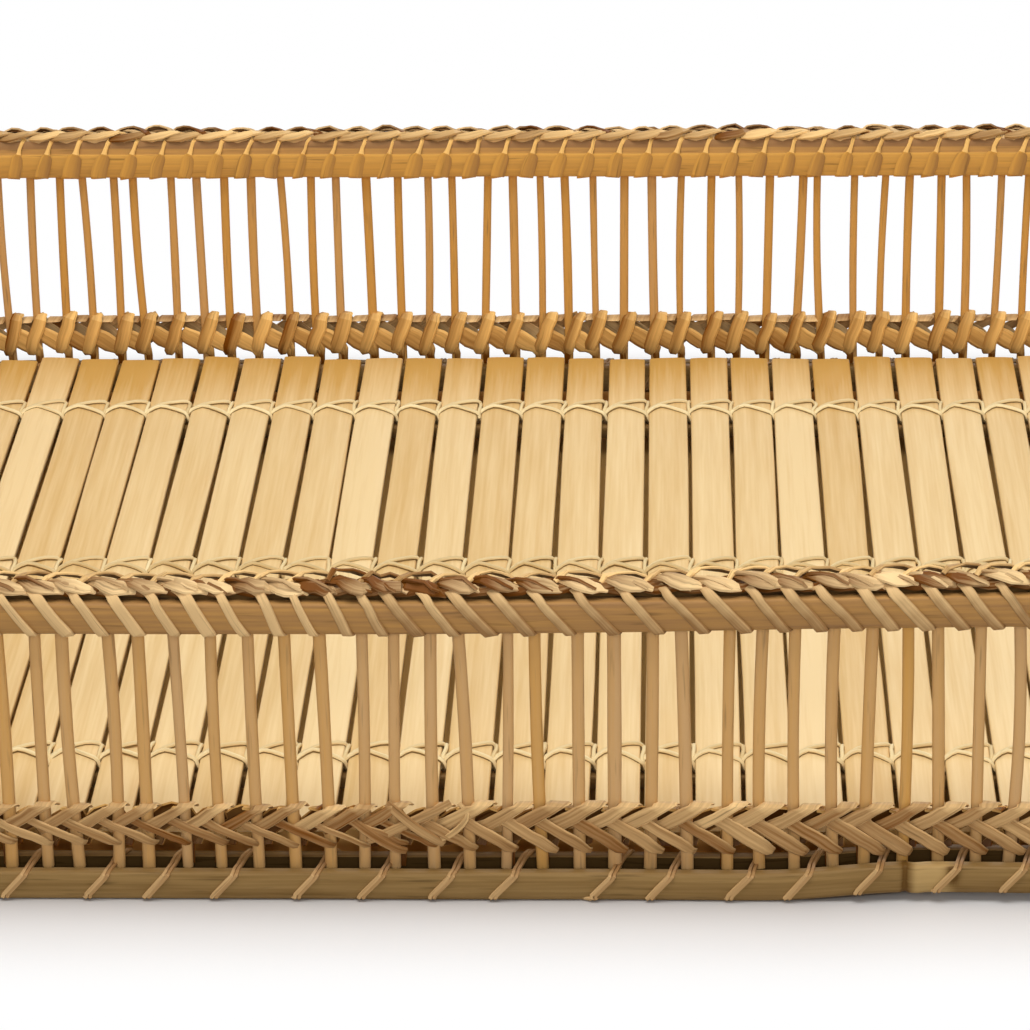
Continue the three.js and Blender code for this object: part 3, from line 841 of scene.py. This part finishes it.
def leaves_inside(name, pattern, level, corner_light_and_shade, front_lift=0.0):
    """A row of leaves as one piece, with painted highlight and shade for each corner of the section.

    Towards the front the leaves are darker with painted shade, their tops drop below the fold by the
    table FRONT_DROP, and their points rise by front_lift. Close to the foot all get painted shade.
    """
    leaves = woven_strips(pattern, LEAF_SWAY)
    at_front = front_share(leaves[..., 0])
    drop = np.interp(leaves[..., 2], FRONT_DROP[:, 0], FRONT_DROP[:, 1])
    leaves[..., 2] += (front_lift - drop) * at_front ** 2
    rings = wall_strips(leaves, BAND_THICKNESS, FLAT_SECTION, 1)
    tone = band_tone(rings, level, LEAF_TONE_SPREAD, corner_light_and_shade)
    # Painted shade: darker close to the foot, and darker towards the front, where the leaves show through
    # the gaps of the band.
    tone += LEAF_FOOT_SHADE * smooth_step(-leaves[..., 2], -FOOT_SHADE_START, -FOOT_SHADE_END)[..., None]
    tone += LEAF_FRONT_SHADE * at_front[..., None]
    fit(swept_object(name, rings, tone), "base_band", leaf_finish, "base_band_inner")


leaves_inside("band_climbing_leaves", CLIMBING_LEAF, level=0.46, corner_light_and_shade=CLIMBING_LIGHT_AND_SHADE)
leaves_inside(
    "band_falling_leaves", FALLING_LEAF, level=0.54, corner_light_and_shade=FALLING_LIGHT_AND_SHADE, front_lift=FALLING_LIFT,
)

# %% Splice in the band
SPLICE = np.array([
    [[-70.5, 1.5, 25.5, 2.2, 90], [-68.0, 2.9, 23.6, 2.6, 90], [-63.5, 3.3, 19.6, 2.7, 90],
     [-59.0, 2.9, 16.2, 2.6, 90], [-56.5, 1.8, 14.2, 2.2, 90]],
    [[-75.5, 1.6, 14.8, 2.2, 90], [-71.5, 2.5, 17.0, 2.7, 90], [-65.0, 2.9, 20.6, 2.7, 90],
     [-58.5, 2.6, 23.8, 2.6, 90], [-54.5, 1.4, 25.6, 2.0, 80]],
    [[-58.0, 1.9, 15.2, 1.6, 90], [-54.6, 3.0, 17.4, 1.8, 90], [-51.6, 3.3, 20.4, 1.7, 90],
     [-50.2, 2.7, 23.2, 1.4, 85], [-52.4, 1.4, 25.6, 1.1, 60]],
    [[-80.0, 1.5, 21.2, 2.2, 90], [-76.2, 2.9, 18.6, 2.6, 90], [-72.0, 3.2, 15.6, 2.6, 90],
     [-68.2, 2.9, 13.2, 2.4, 90], [-66.0, 1.6, 12.0, 2.0, 90]],
])
SPLICE_TONE = np.array([[0.8], [0.7], [0.5], [0.85]])
splice = SPLICE * UNITS
splice[..., 0] += flat_length
splice_rings = wall_strips(splice, BAND_THICKNESS, FLAT_SECTION)
fit(swept_object("band_splice", splice_rings, SPLICE_TONE), "base_band", band_finish, "base_band_outer")

# %% [markdown]
# ## Hoops
# A hoop is a long bamboo strip bent round the stakes. Its section is carried round the closed line, and it
# wavers slightly. Three of the hoops have a soft rectangle for a section, and the inner rim hoop has a
# bevel. A swollen joint of the bamboo shows in the outer foot hoop. A curve bevel could draw such rings,
# but here each corner of a section can have a tone of its own, which carries painted shade and highlight.

# %% Rise of the rim and the foot
RIM_SAG = -0.7 * MM
RIM_CLIMB = 2.3 * MM
CLIMB_START = -75 * MM
CLIMB_END = 105 * MM
FOOT_LIFT = 2.4 * MM
LIFT_START = 24 * MM
LIFT_FULL = 62 * MM
LIFT_FALL = 130 * MM
LIFT_END = 200 * MM
FOOT_BULGE = 1.5 * MM


def rim_rise(distance):
    """How far the rim stands above its drawn height: along the front it climbs to the right."""
    x = stake_line(distance)[0][..., 0]
    climb = RIM_SAG + RIM_CLIMB * smooth_step(x, CLIMB_START, CLIMB_END)
    return front_share(distance) ** 2 * climb


def foot_rise(distance):
    """How far the foot stands off the floor: at the right of the front a stretch lifts and comes back."""
    x = stake_line(distance)[0][..., 0]
    lift = smooth_step(x, LIFT_START, LIFT_FULL) * smooth_step(-x, -LIFT_END, -LIFT_FALL)
    return front_share(distance) ** 4 * lift * FOOT_LIFT


def foot_bulge(distance):
    """How far the outer foot hoop stands away from the stakes along the front."""
    return front_share(distance) ** 4 * FOOT_BULGE


print("highest rise of the rim in mm:", round(rim_rise(stake_at).max() / MM, 2))

# %% Hoops
HOOP_STATIONS = 2 * STAKES
HOOP_GAP = 1.4 * MM
HOOP_WAVES = 24
HOOP_WAVER = (0.1, 0.2)
FOOT_JOINT = flat_length + 62 * MM
JOINT_STEPS = np.arange(-12, 25)
JOINT_STEP = 0.6 * MM
SKIN_SECTION = np.array([
    [-1, 0.95], [-1, -0.95], [-0.8, -1], [0.2, -1], [0.6, -0.95], [0.88, -0.82],
    [1, -0.6], [1.04, 0.1], [1, 0.85], [0.85, 0.96], [0.6, 1], [-0.8, 1],
])
BEVEL_SECTION = np.array([
    [-1, 0.98], [-1, -0.95], [-0.8, -1], [0.6, -1], [0.9, -0.95], [1, -0.85], [1.05, -0.2], [1, 0.2],
    [0.92, 0.29], [0.32, 0.33], [0.22, 0.42], [0.06, 0.57], [-0.06, 0.685], [-0.35, 0.96], [-0.5, 1],
])
hoop_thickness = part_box("rim_hoop_outer")[1].y - half_depth - HOOP_GAP
hoop_run = np.arange(HOOP_STATIONS) * perimeter / HOOP_STATIONS
hoop_run = np.unique(np.concatenate([hoop_run, FOOT_JOINT + JOINT_STEPS * JOINT_STEP]))
print("stations round a hoop:", len(hoop_run))


def hoop(name, node, section, finish, tone, rise, inner=False, bulge=0.0, taller=(0.0, 0.0)):
    """A ring: each station places the section's corners by their distance out and their height.

    An inner hoop mirrors the section, and its tone lists the mirrored corners. The ring stands rise higher
    and bulge further out. Its edges reach further down and up by the two lengths in taller.
    """
    low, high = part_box(node)
    sign = -1 if inner else 1
    shape = np.roll(section[::-1], 2, axis=0) * [-1, 1] if inner else section
    low_edge = low.z - taller[0]
    high_edge = high.z + taller[1]
    wave = rng.uniform(*HOOP_WAVER) * ripple(hoop_run, HOOP_WAVES, seed=len(name)) * MM + bulge
    out = sign * (HOOP_GAP + hoop_thickness / 2) + wave[:, None] + shape[:, 0] * hoop_thickness / 2
    height = (low_edge + high_edge) / 2 + rise[:, None] + shape[:, 1] * (high_edge - low_edge) / 2
    rings = place(hoop_run[:, None], out, height)[None]
    fit(swept_object(name, rings, tone, crease=42, closed=True), "hoop", finish, node)


# %% Joint in the foot hoop
# Places and lengths along the hoop, in millimetres from the joint.
SWELL_HEIGHT = 0.5
SWELL_REACH = 2.2
GROOVE_AT = -2.6
GROOVE_DEPTH = 0.7
GROOVE_REACH = 0.7
GROOVE_TONE = 0.4
GROOVE_TONE_REACH = 0.8
PALE_TONE = 0.5
PALE_START = -1.5
PALE_FULL = 0.5
PALE_FALL = 7
PALE_END = 11
BLOTCH_AT = 9.0
BLOTCH_REACH = 1.6
BLOTCH_TONE = 0.7
BLOTCH_CORNERS = (7, 8, 9)
FOOT_TONE = 0.73
from_joint = (hoop_run - FOOT_JOINT) / MM
swell = SWELL_HEIGHT * bell(from_joint, 0.0, SWELL_REACH)
groove = GROOVE_DEPTH * bell(from_joint, GROOVE_AT, GROOVE_REACH)
foot_out = foot_bulge(hoop_run) + (swell - groove) * MM
pale = smooth_step(from_joint, PALE_START, PALE_FULL) * smooth_step(-from_joint, -PALE_END, -PALE_FALL)
foot_tone = FOOT_TONE + GROOVE_TONE * bell(from_joint, GROOVE_AT, GROOVE_TONE_REACH) - PALE_TONE * pale
blotched = np.isin(np.arange(len(SKIN_SECTION)), BLOTCH_CORNERS)
blotch = bell(from_joint, BLOTCH_AT, BLOTCH_REACH)[:, None] * blotched
foot_tone = (foot_tone[:, None] + BLOTCH_TONE * blotch)[None]
print("tones of the foot hoop from", foot_tone.min().round(2), "to", foot_tone.max().round(2))

# %% Hoops at the rim and the foot
RIM_TONE = 0.9
# Corner tones of the inner rim hoop: painted shade on its top under the plait and on the slope of the
# bevel, and a painted highlight on the edge of the ledge. The inner foot hoop is painted darker on its top,
# as shade.
BEVEL_LIGHT_AND_SHADE = np.array([[[0.25, 0.25, 1.6, 1.6, 1.4, 0.65, 0.65, 0.6, -0.3, 0.1, 0.25, 0.3, 0.4, 0.4, 0.4]]])
INNER_FOOT_TONE_AND_SHADE = np.array([[[0.4, 0.8, 1.0, 1.0, 0.9, 0.8, 0.7, 0.7, 0.7, 0.7, 0.7, 0.7]]])
RIM_OUTER_EDGES = (0.1 * MM, -1.0 * MM)
RIM_INNER_EDGES = (1.2 * MM, 0.9 * MM)
FOOT_OUTER_EDGES = (0.0, -0.9 * MM)
rim_lift = rim_rise(hoop_run)
foot_lift = foot_rise(hoop_run)
hoop(
    "rim_strip_outer", "rim_hoop_outer", SKIN_SECTION, rim_finish, RIM_TONE, rim_lift,
    taller=RIM_OUTER_EDGES,
)
hoop(
    "rim_strip_inner", "rim_hoop_inner", BEVEL_SECTION, rim_finish, BEVEL_LIGHT_AND_SHADE, rim_lift,
    inner=True, taller=RIM_INNER_EDGES,
)
hoop(
    "foot_strip_outer", "foot_hoop_outer", SKIN_SECTION, foot_finish, foot_tone, foot_lift,
    bulge=foot_out, taller=FOOT_OUTER_EDGES,
)
hoop(
    "foot_strip_inner", "foot_hoop_inner", SKIN_SECTION, foot_finish, INNER_FOOT_TONE_AND_SHADE, foot_lift,
    inner=True,
)

# %% [markdown]
# ## Lashings
# A lashing is cane wound round both hoops and between the stakes. One turn is a list of points on its way.
# At the rim it goes up the inside, over the top, slanting down the outside and back underneath, and at the
# foot the other way round. The turns follow each other round the tray, so the rim has one long strip, and
# the foot has two thin strands side by side. On the inner rim hoop the strip is flat and as golden as the
# hoop it lies on. Over the bevel it narrows to a bright strand. The cane's edges carry painted highlight
# and shade, its legs are painted paler at the top as a highlight, and the foot strands are painted darker
# on top of the hoops, as shade.

# %% Winding
def wound(turn, starts, sway, spin):
    """The control points of all turns in one row. The facing goes on turning, by spin degrees each turn."""
    points = np.broadcast_to(turn * UNITS, (len(starts), *turn.shape)).copy()
    points[..., 0] += starts[:, None] + rng.normal(0, sway, points.shape[:2])
    points[..., 4] += spin * np.arange(len(starts))[:, None]
    return points


# Places and lengths along the front, in millimetres from its middle.
CROWD_AT = -17
CROWD_SHIFT = 6
CROWD_CORE = 25
CROWD_REACH = 90
LEFT_START = 60
LEFT_FULL = 100
LEFT_END = 240
from_middle = (stake_at - flat_length) / MM
apart = np.tanh((from_middle - CROWD_AT) / CROWD_CORE)
crowd = CROWD_SHIFT * apart * bell(from_middle, CROWD_AT, CROWD_REACH)
wrap_at = stake_at + crowd * MM
left_share = (smooth_step(-from_middle, LEFT_START, LEFT_FULL) * (from_middle > -LEFT_END))[:, None]
print("largest shift of a wrap in mm:", np.abs(crowd).max().round(2))

# %% One turn of the rim lashing
FACE_THICKNESS = 0.28 * MM
LEG_THICKNESS = 1.0 * MM
RIM_TURN = np.array([
    [3.8, -4.9, -5.5, 4.4, -90], [2.9, -4.93, -2.2, 4.4, -90], [2.0, -4.93, 1.0, 3.8, -90],
    [1.65, -4.75, 2.1, 2.0, -75], [1.2, -3.9, 3.6, 1.3, -58], [0.5, -2.6, 5.4, 1.3, -50],
    [-0.2, -1.2, 6.2, 1.8, -25], [0.3, 0.4, 6.4, 1.8, 5], [2.1, 2.8, 6.2, 2.2, 28],
    [3.4, 4.4, 5.0, 2.5, 62], [4.8, 5.0, 3.2, 2.7, 88], [7.6, 4.95, -0.8, 2.8, 90],
    [10.2, 4.9, -4.2, 2.8, 93], [10.9, 3.4, -4.8, 2.4, 160], [11.9, 0.0, -5.0, 2.6, 180],
    [12.7, -3.4, -6.1, 4.4, 205],
])
LEAN_SHARE = np.array([0, 0, 0, 0, 0, 0, 0.3, 0.7, 1.1, 1.1, 0.9, 0.42, 0, 0, 0, 0])
# The edges of the cane carry painted light and shade: outside, a painted highlight on the raised edge and
# painted shade in the crease beside it; on the inner hoop's face, painted shade on one side of the strip
# and a highlight on the other. Along a turn the cane is paler over the bevel, and paler at the top of the
# leg outside, fading down it: there a painted highlight where the leg turns over the rim.
EDGE_LIGHT_AND_SHADE = np.array([0, 0, 0, 0, -0.4, -0.4, 0.45, 0.45])
FACE_EDGE_LIGHT_AND_SHADE = np.array([0, 0.5, 0.6, 0.5, -0.1, -0.3, 0, 0])
LEG_TONE_AND_HIGHLIGHT = np.array([0, 0, 0, -0.9, -0.9, -0.9, -0.9, -0.7, -0.6, -0.55, -0.4, -0.05, 0.1, 0.2, 0.2, 0])
# Finish of each point: 0 for the outside, 1 for the face of the inner hoop and 2 for its bevel.
RIM_PART = np.array([1, 1, 1, 2, 2, 2, 2, 0, 0, 0, 0, 0, 0, 0, 0, 1])
LEG_PART = 0
FACE_PART = 1
print("points in one turn:", len(RIM_TURN))

# %% Rim lashing
# Lean of the wraps in millimetres, and where along the front it changes.
STEEP = 0.8
STEEP_AT = 5
STEEP_REACH = 50
SLACK_AT = -92
SLACK_REACH = 28
LEFT_LEAN = 1.2
LEAN_RIPPLE = 0.4
WRAP_LEAN_ERROR = 0.5
WRAP_SWAY = 0.12 * MM
WRAP_WIDTH_ERROR = 0.1
LEFT_WIDER = 0.05
OUTER_TONE = 1.05
FACE_TONE = 0.28
WRAP_TONE_SPREAD = 0.1
LEFT_PALER = 0.75
LEFT_EVENER = 0.7
rim_turns = wound(RIM_TURN, wrap_at, WRAP_SWAY, spin=360)
rim_turns[..., 2] += (rim_low + rim_high) / 2 + rim_rise(wrap_at)[:, None]
lean = STEEP * (bell(from_middle, STEEP_AT, STEEP_REACH) - bell(from_middle, SLACK_AT, SLACK_REACH))
lean = lean + LEAN_RIPPLE * ripple(stake_at, waves=14, seed=11) + rng.normal(0, WRAP_LEAN_ERROR, STAKES)
rim_turns[..., 0] -= (lean[:, None] - LEFT_LEAN * left_share) * MM * LEAN_SHARE
rim_turns[..., 3] *= rng.normal(1, WRAP_WIDTH_ERROR, (STAKES, 1)) * (1 + LEFT_WIDER * left_share)
winding_part = np.repeat(np.tile(RIM_PART, STAKES), 2)[:-1]
winding_thickness = np.where(winding_part == FACE_PART, FACE_THICKNESS, LEG_THICKNESS)
rim_rings = wall_strips(rim_turns.reshape(1, -1, 5), winding_thickness, WEDGE_SECTION)
outer_tone = OUTER_TONE - LEFT_PALER * left_share + rng.normal(0, WRAP_TONE_SPREAD, (STAKES, 1))
outer_tone = outer_tone + LEG_TONE_AND_HIGHLIGHT * (1 - LEFT_EVENER * left_share)
face_tone = FACE_TONE + rng.normal(0, WRAP_TONE_SPREAD, (STAKES, 1))
rim_tone = np.repeat(np.where(RIM_PART == FACE_PART, face_tone, outer_tone).ravel(), 2)[:-1]
edge_light_and_shade = np.where(winding_part[:, None] == FACE_PART, FACE_EDGE_LIGHT_AND_SHADE, EDGE_LIGHT_AND_SHADE)
rim_winding = swept_object("rim_winding", rim_rings, (rim_tone[:, None] + edge_light_and_shade)[None])
fit(rim_winding, "lashing", lashing_finish, "rim_lashing")
rim_winding.data.materials.append(rim_finish)
rim_winding.data.materials.append(leaf_finish)
finish_index = np.append(np.repeat(winding_part[:-1], len(WEDGE_SECTION)), [FACE_PART, LEG_PART])
rim_winding.data.polygons.foreach_set("material_index", finish_index.astype(np.int32))
print("faces of the winding on the inner hoop:", (finish_index == FACE_PART).sum())

# %% Foot lashing
FOOT_TURNS = STAKES // 2
FOOT_TURN = np.array([
    [0.0, 4.75, 0.9, 2.0, 100], [0.4, 5.05, 2.0, 2.2, 90], [4.4, 5.05, 6.6, 2.2, 90],
    [5.2, 4.6, 7.6, 2.0, 50], [5.8, 2.8, 7.9, 2.0, 10], [6.4, 0.8, 7.6, 2.0, 0],
    [7.4, -1.4, 8.6, 2.1, -5], [8.6, -2.9, 9.2, 2.1, -5], [9.4, -4.6, 8.8, 2.2, -45],
    [10.2, -5.1, 7.0, 2.2, -90], [12.6, -5.1, 2.6, 2.2, -90], [13.4, -4.8, 1.0, 2.2, -120],
    [14.4, -3.2, 0.35, 2.1, -178], [15.8, -0.6, 0.32, 2.1, -180], [17.2, 1.8, 0.35, 2.1, -182],
])
# Where the strands cross the tops of the hoops, under the band, they are painted darker: painted shade.
FOOT_LEG_SHADE = np.array([0, 0, 0, 0.2, 0.6, 0.8, 0.6, 0.4, 0.2, 0, 0, 0, 0, 0, 0])
FIRST_FOOT_TURN = 0.25
FOOT_TURN_ERROR = 0.2
FOOT_SWAY = 0.1 * MM
BULGE_FULL = 4
STRAND_SHARE = 0.5
STRAND_OFFSET = 0.55 * MM
STRAND_THICKNESS = 0.7 * MM
FOOT_STRAND_TONE = np.array([[0.5], [0.8]])
foot_shift = FIRST_FOOT_TURN + rng.uniform(-FOOT_TURN_ERROR, FOOT_TURN_ERROR, FOOT_TURNS)
foot_starts = (np.arange(FOOT_TURNS) + foot_shift) * perimeter / FOOT_TURNS
foot_turns = wound(FOOT_TURN, foot_starts, FOOT_SWAY, spin=-360)
foot_turns[..., 1] += foot_bulge(foot_turns[..., 0]) * smooth_step(FOOT_TURN[:, 1], 0, BULGE_FULL)
foot_turns[..., 2] += foot_rise(foot_turns[..., 0])
foot_strands = np.stack([foot_turns.reshape(-1, 5)] * 2)
foot_strands[..., 0] += np.array([[-1], [1]]) * STRAND_OFFSET
foot_strands[..., 3] *= STRAND_SHARE
foot_rings = wall_strips(foot_strands, STRAND_THICKNESS, FLAT_SECTION)
foot_leg_shade = np.repeat(np.tile(FOOT_LEG_SHADE, FOOT_TURNS), 2)[:-1]
foot_winding = swept_object("foot_winding", foot_rings, FOOT_STRAND_TONE + foot_leg_shade)
fit(foot_winding, "lashing", lashing_finish, "foot_lashing")

# %% [markdown]
# ## Rim plait
# The top of the rim is finished with a plait. Two strands are twisted along the crest. Over them, a row of
# leaves crosses to the outside of the rim and tucks in again, and a second row does the same on the
# inside. Thin slivers lie between the leaves. Along one stretch of the front the plait is a mess. All the
# leaves of a row are copies of one, set at the turns of the lashing with small errors.

# %% Leaves of the plait
OUTER_LEAF = np.array([
    [-6.4, -1.6, 1.4, 1.6, -35], [-4.8, -0.2, 3.0, 2.2, 0], [-2.9, 1.4, 3.6, 2.8, 32],
    [-0.8, 2.5, 3.5, 3.5, 50], [1.4, 2.9, 3.1, 3.8, 54], [3.4, 2.8, 2.7, 3.2, 52],
    [5.0, 2.4, 2.1, 2.2, 48], [6.4, 1.7, 1.1, 1.4, 42],
])
INNER_LEAF = np.array([
    [6.2, -1.8, 2.0, 1.4, -40], [4.4, -2.6, 2.9, 2.2, -45], [2.0, -2.8, 3.6, 2.6, -45],
    [-0.6, -2.4, 4.2, 2.6, -40], [-3.0, -1.5, 4.6, 2.4, -25], [-5.0, -0.2, 4.2, 1.8, 0],
    [-6.4, 1.0, 3.1, 1.2, 25],
])
SLIVER = np.array([
    [-6.0, -1.0, 2.2, 0.9, -10], [-3.6, 0.5, 3.8, 1.0, 15], [-1.0, 1.4, 4.2, 1.0, 30],
    [1.6, 2.4, 3.9, 1.0, 45], [3.8, 3.2, 3.0, 0.9, 60], [5.6, 3.3, 1.9, 0.8, 70],
])
print("points in an outer leaf:", len(OUTER_LEAF), "in an inner leaf:", len(INNER_LEAF))

# %% Rim plait
PLAIT_THICKNESS = 0.8 * MM
LEAF_SHIFT = 2.5 * MM
SLIVER_SHIFT = 1.5 * MM
PLAIT_SWAY = 0.6 * MM
PLAIT_TONE_SPREAD = 0.25
MESS_AT = -70
MESS_REACH = 22
MESS_ERROR = 0.5 * MM
MESS_TONE = 0.4
mess = bell(from_middle, MESS_AT, MESS_REACH)


def plait(name, leaf, shift, finish, tone, shade_fade, settle):
    """One leaf at each turn of the lashing, standing on the hoops' top, with larger errors in the mess.

    Along a leaf the tone falls by the given amount from its first end to its last: painted shade at the
    first end and a painted highlight at the last. Towards the back the leaves lie lower by the share
    settle.
    """
    leaves = woven_strips(leaf, PLAIT_SWAY)
    leaves[..., 2] *= 1 - settle * (1 - front_share(leaves[..., 0]))
    leaves[..., 0] += crowd[:, None] * MM + shift
    leaves[..., :3] += mess[:, None, None] * rng.normal(0, MESS_ERROR, (*leaves.shape[:2], 3))
    leaves[..., 2] += rim_high + rim_rise(leaves[..., 0])
    rings = wall_strips(leaves, PLAIT_THICKNESS, FLAT_SECTION, 1)
    tones = np.clip(rng.normal(tone, PLAIT_TONE_SPREAD, (STAKES, 1)), 0, 1) + MESS_TONE * mess[:, None]
    # Each leaf is darker at its first end and paler at its last: painted shade and highlight.
    tones = tones + np.linspace(shade_fade / 2, -shade_fade / 2, len(leaf))
    fit(swept_object(name, rings, tones), "rim_plait", finish, "rim_plait")


plait("rim_leaves_outer", OUTER_LEAF, LEAF_SHIFT, plait_finish, tone=0.46, shade_fade=1.0, settle=0.1)
plait("rim_leaves_inner", INNER_LEAF, LEAF_SHIFT, crest_finish, tone=0.4, shade_fade=0.5, settle=0.3)
plait("rim_slivers", SLIVER, SLIVER_SHIFT, plait_finish, tone=0.75, shade_fade=0.3, settle=0.25)

# %% Twisted core of the plait
CORE_STATIONS = 3 * STAKES
CORE_TWISTS = STAKES // 2
CORE_RADIUS = 1.3 * MM
CORE_LEVEL = rim_high + 1.4 * MM
CORE_WIDTH = 2.8 * MM
CORE_THICKNESS = 2.2 * MM
CORE_FLATNESS = 0.6
CORE_TONE = 0.3
CORE_FRONT_SHADE = 0.65
core_run = np.arange(CORE_STATIONS) * perimeter / CORE_STATIONS
core_angle = 2 * math.pi * CORE_TWISTS * core_run / perimeter + np.array([[0.0], [math.pi]])
core_height = CORE_LEVEL + rim_rise(core_run) + CORE_FLATNESS * CORE_RADIUS * np.sin(core_angle)
core_path = place(core_run, CORE_RADIUS * np.cos(core_angle), core_height)
core_rings = sweep(core_path, facing(core_run, 0.0)[None], CORE_WIDTH, CORE_THICKNESS, FLAT_SECTION)
# The core is darker towards the front: painted shade in the gaps between the leaves.
core_tone = CORE_TONE + CORE_FRONT_SHADE * front_share(core_run)
fit(swept_object("rim_core", core_rings, core_tone, closed=True), "rim_plait", plait_finish, "rim_plait")

# %% [markdown]
# ## Floor, light and background
# The tray stands on a white sweep under a broad lamp overhead, with a weaker one in front and a small one
# behind. The light from above picks out the upper edges of the strips and leaves the gaps dark, and the
# strips add painted highlights and shade. For rays from the camera the floor carries a painted contact
# shadow, paler away from the tray, and glows a little, which whitens it without more light on the tray and
# keeps the shadow. Under the tray it is painted brown, as if lit through the bamboo.

# %% Floor
FLOOR_HALF = 4.0
floor_mesh = bpy.data.meshes.new("white_floor")
floor_corners = [(x * FLOOR_HALF, y * FLOOR_HALF, 0.0) for x, y in ((-1, -1), (1, -1), (1, 1), (-1, 1))]
floor_mesh.from_pydata(floor_corners, [], [(0, 1, 2, 3)])
white_floor = bpy.data.objects.new("white_floor", floor_mesh)
bpy.context.scene.collection.objects.link(white_floor)
print("floor side in m:", 2 * FLOOR_HALF)

# %% Floor finish
GLOW_START = 16 * MM
GLOW_END = 70 * MM
CONTACT_START = 5 * MM
CONTACT_END = 55 * MM
CONTACT_POWER = 0.3
BACK_LEAD = 45 * MM
LIFTED_START = 30 * MM
LIFTED_FULL = 70 * MM
LIFTED_BY = 5 * MM
UNDER_EDGE = 6 * MM
BROWN_START = 22 * MM
BROWN_FULL = 29 * MM
WHITE = (0.97, 0.97, 0.97)
PLAIN_GREY = (0.6, 0.6, 0.6)
CONTACT_SHADOW_GREY = (0.24, 0.205, 0.18)
SHADE_BROWN = (0.95, 0.54, 0.18)
SHADE_DARK = (0.45, 0.20, 0.05)


def rays_that_show(wire):
    """1 for rays that show the background: from the camera, or mirrored or let through by a surface."""
    kinds = ("Is Camera Ray", "Is Glossy Ray", "Is Transmission Ray")
    camera_ray, glossy_ray, clear_ray = [wire.node("ShaderNodeLightPath", {}, {}, kind) for kind in kinds]
    return camera_ray + glossy_ray + clear_ray


floor_finish, wire = new_material("floor_finish")
spot = wire.node("ShaderNodeTexCoord", {}, {}, "Object")
east = wire.node("ShaderNodeSeparateXYZ", {}, {0: spot}, "X")
north = wire.node("ShaderNodeSeparateXYZ", {}, {0: spot}, "Y")
past_end = wire.calculate("MAXIMUM", wire.calculate("ABSOLUTE", east) - flat_length)
past_side = wire.calculate("MAXIMUM", wire.calculate("ABSOLUTE", north) - flat_depth)
outside = wire.calculate("SQRT", past_end * past_end + past_side * past_side) - CORNER_RADIUS
behind = wire.span(north, half_depth, half_depth + BACK_LEAD, smooth=True)
away = outside + behind * BACK_LEAD
glow_here = wire.span(away, GLOW_START, GLOW_END, smooth=True)
lifted = wire.span(east, LIFTED_START, LIFTED_FULL, LIFTED_BY, smooth=True)
# Near the tray the open floor is painted grey, fading to white away from it: a painted contact shadow. It
# is narrower behind the tray and towards the right.
shade_fade = wire.calculate("POWER", wire.span(away + lifted, CONTACT_START, CONTACT_END), CONTACT_POWER)
open_floor = wire.blend(shade_fade, (*CONTACT_SHADOW_GREY, 1), (*WHITE, 1))
# Under the tray the floor is painted shade: dark near the foot and brown further in.
under = wire.span(outside, 0.0, -UNDER_EDGE, smooth=True)
inward = wire.span(outside, -BROWN_START, -BROWN_FULL, smooth=True)
shade = wire.blend(inward, (*SHADE_DARK, 1), (*SHADE_BROWN, 1))
floor_colour = wire.blend(under, open_floor, shade)
plain = wire.node("ShaderNodeBsdfDiffuse", {}, {"Color": (*PLAIN_GREY, 1)})
bright = wire.node("ShaderNodeBsdfDiffuse", {}, {"Color": floor_colour})
glow = wire.node("ShaderNodeEmission", {}, {"Color": (1, 1, 1, 1), "Strength": 1.0})
shown = wire.node("ShaderNodeMixShader", {}, {0: glow_here, 1: bright, 2: glow})
surface = wire.node("ShaderNodeMixShader", {}, {0: rays_that_show(wire), 1: plain, 2: shown})
wire.node("ShaderNodeOutputMaterial", {}, {"Surface": surface})
floor_mesh.materials.append(floor_finish)
print("nodes in the floor finish:", len(floor_finish.node_tree.nodes))

# %% Light
AMBIENT = 0.15


def soft_lamp(name, spot, size, watts):
    """A rectangular lamp at a spot, turned to the tray."""
    lamp = bpy.data.lights.new(name, "AREA")
    lamp.shape = "RECTANGLE"
    lamp.size, lamp.size_y = size
    lamp.energy = watts
    holder = bpy.data.objects.new(name, lamp)
    turned = Vector(spot).to_track_quat("Z", "Y").to_matrix().to_4x4()
    holder.matrix_world = Matrix.Translation(spot) @ turned
    bpy.context.scene.collection.objects.link(holder)
    print(name, "watts:", watts)


soft_lamp("overhead", spot=(-0.15, -0.45, 1.75), size=(1.2, 1.0), watts=24.0)
soft_lamp("front_fill", spot=(0.1, -2.2, 1.2), size=(1.6, 1.0), watts=22.0)
soft_lamp("back_light", spot=(0.3, 1.1, 0.75), size=(1.0, 0.6), watts=5.0)
world = bpy.data.worlds.new("studio")
world.use_nodes = True
world.node_tree.nodes.clear()
sky = Wire(world.node_tree)
strength = AMBIENT + rays_that_show(sky) * (1 - AMBIENT)
backdrop = sky.node("ShaderNodeBackground", {}, {"Color": (1, 1, 1, 1), "Strength": strength})
sky.node("ShaderNodeOutputWorld", {}, {"Surface": backdrop})
bpy.context.scene.world = world
bpy.context.scene.view_settings.view_transform = "Standard"
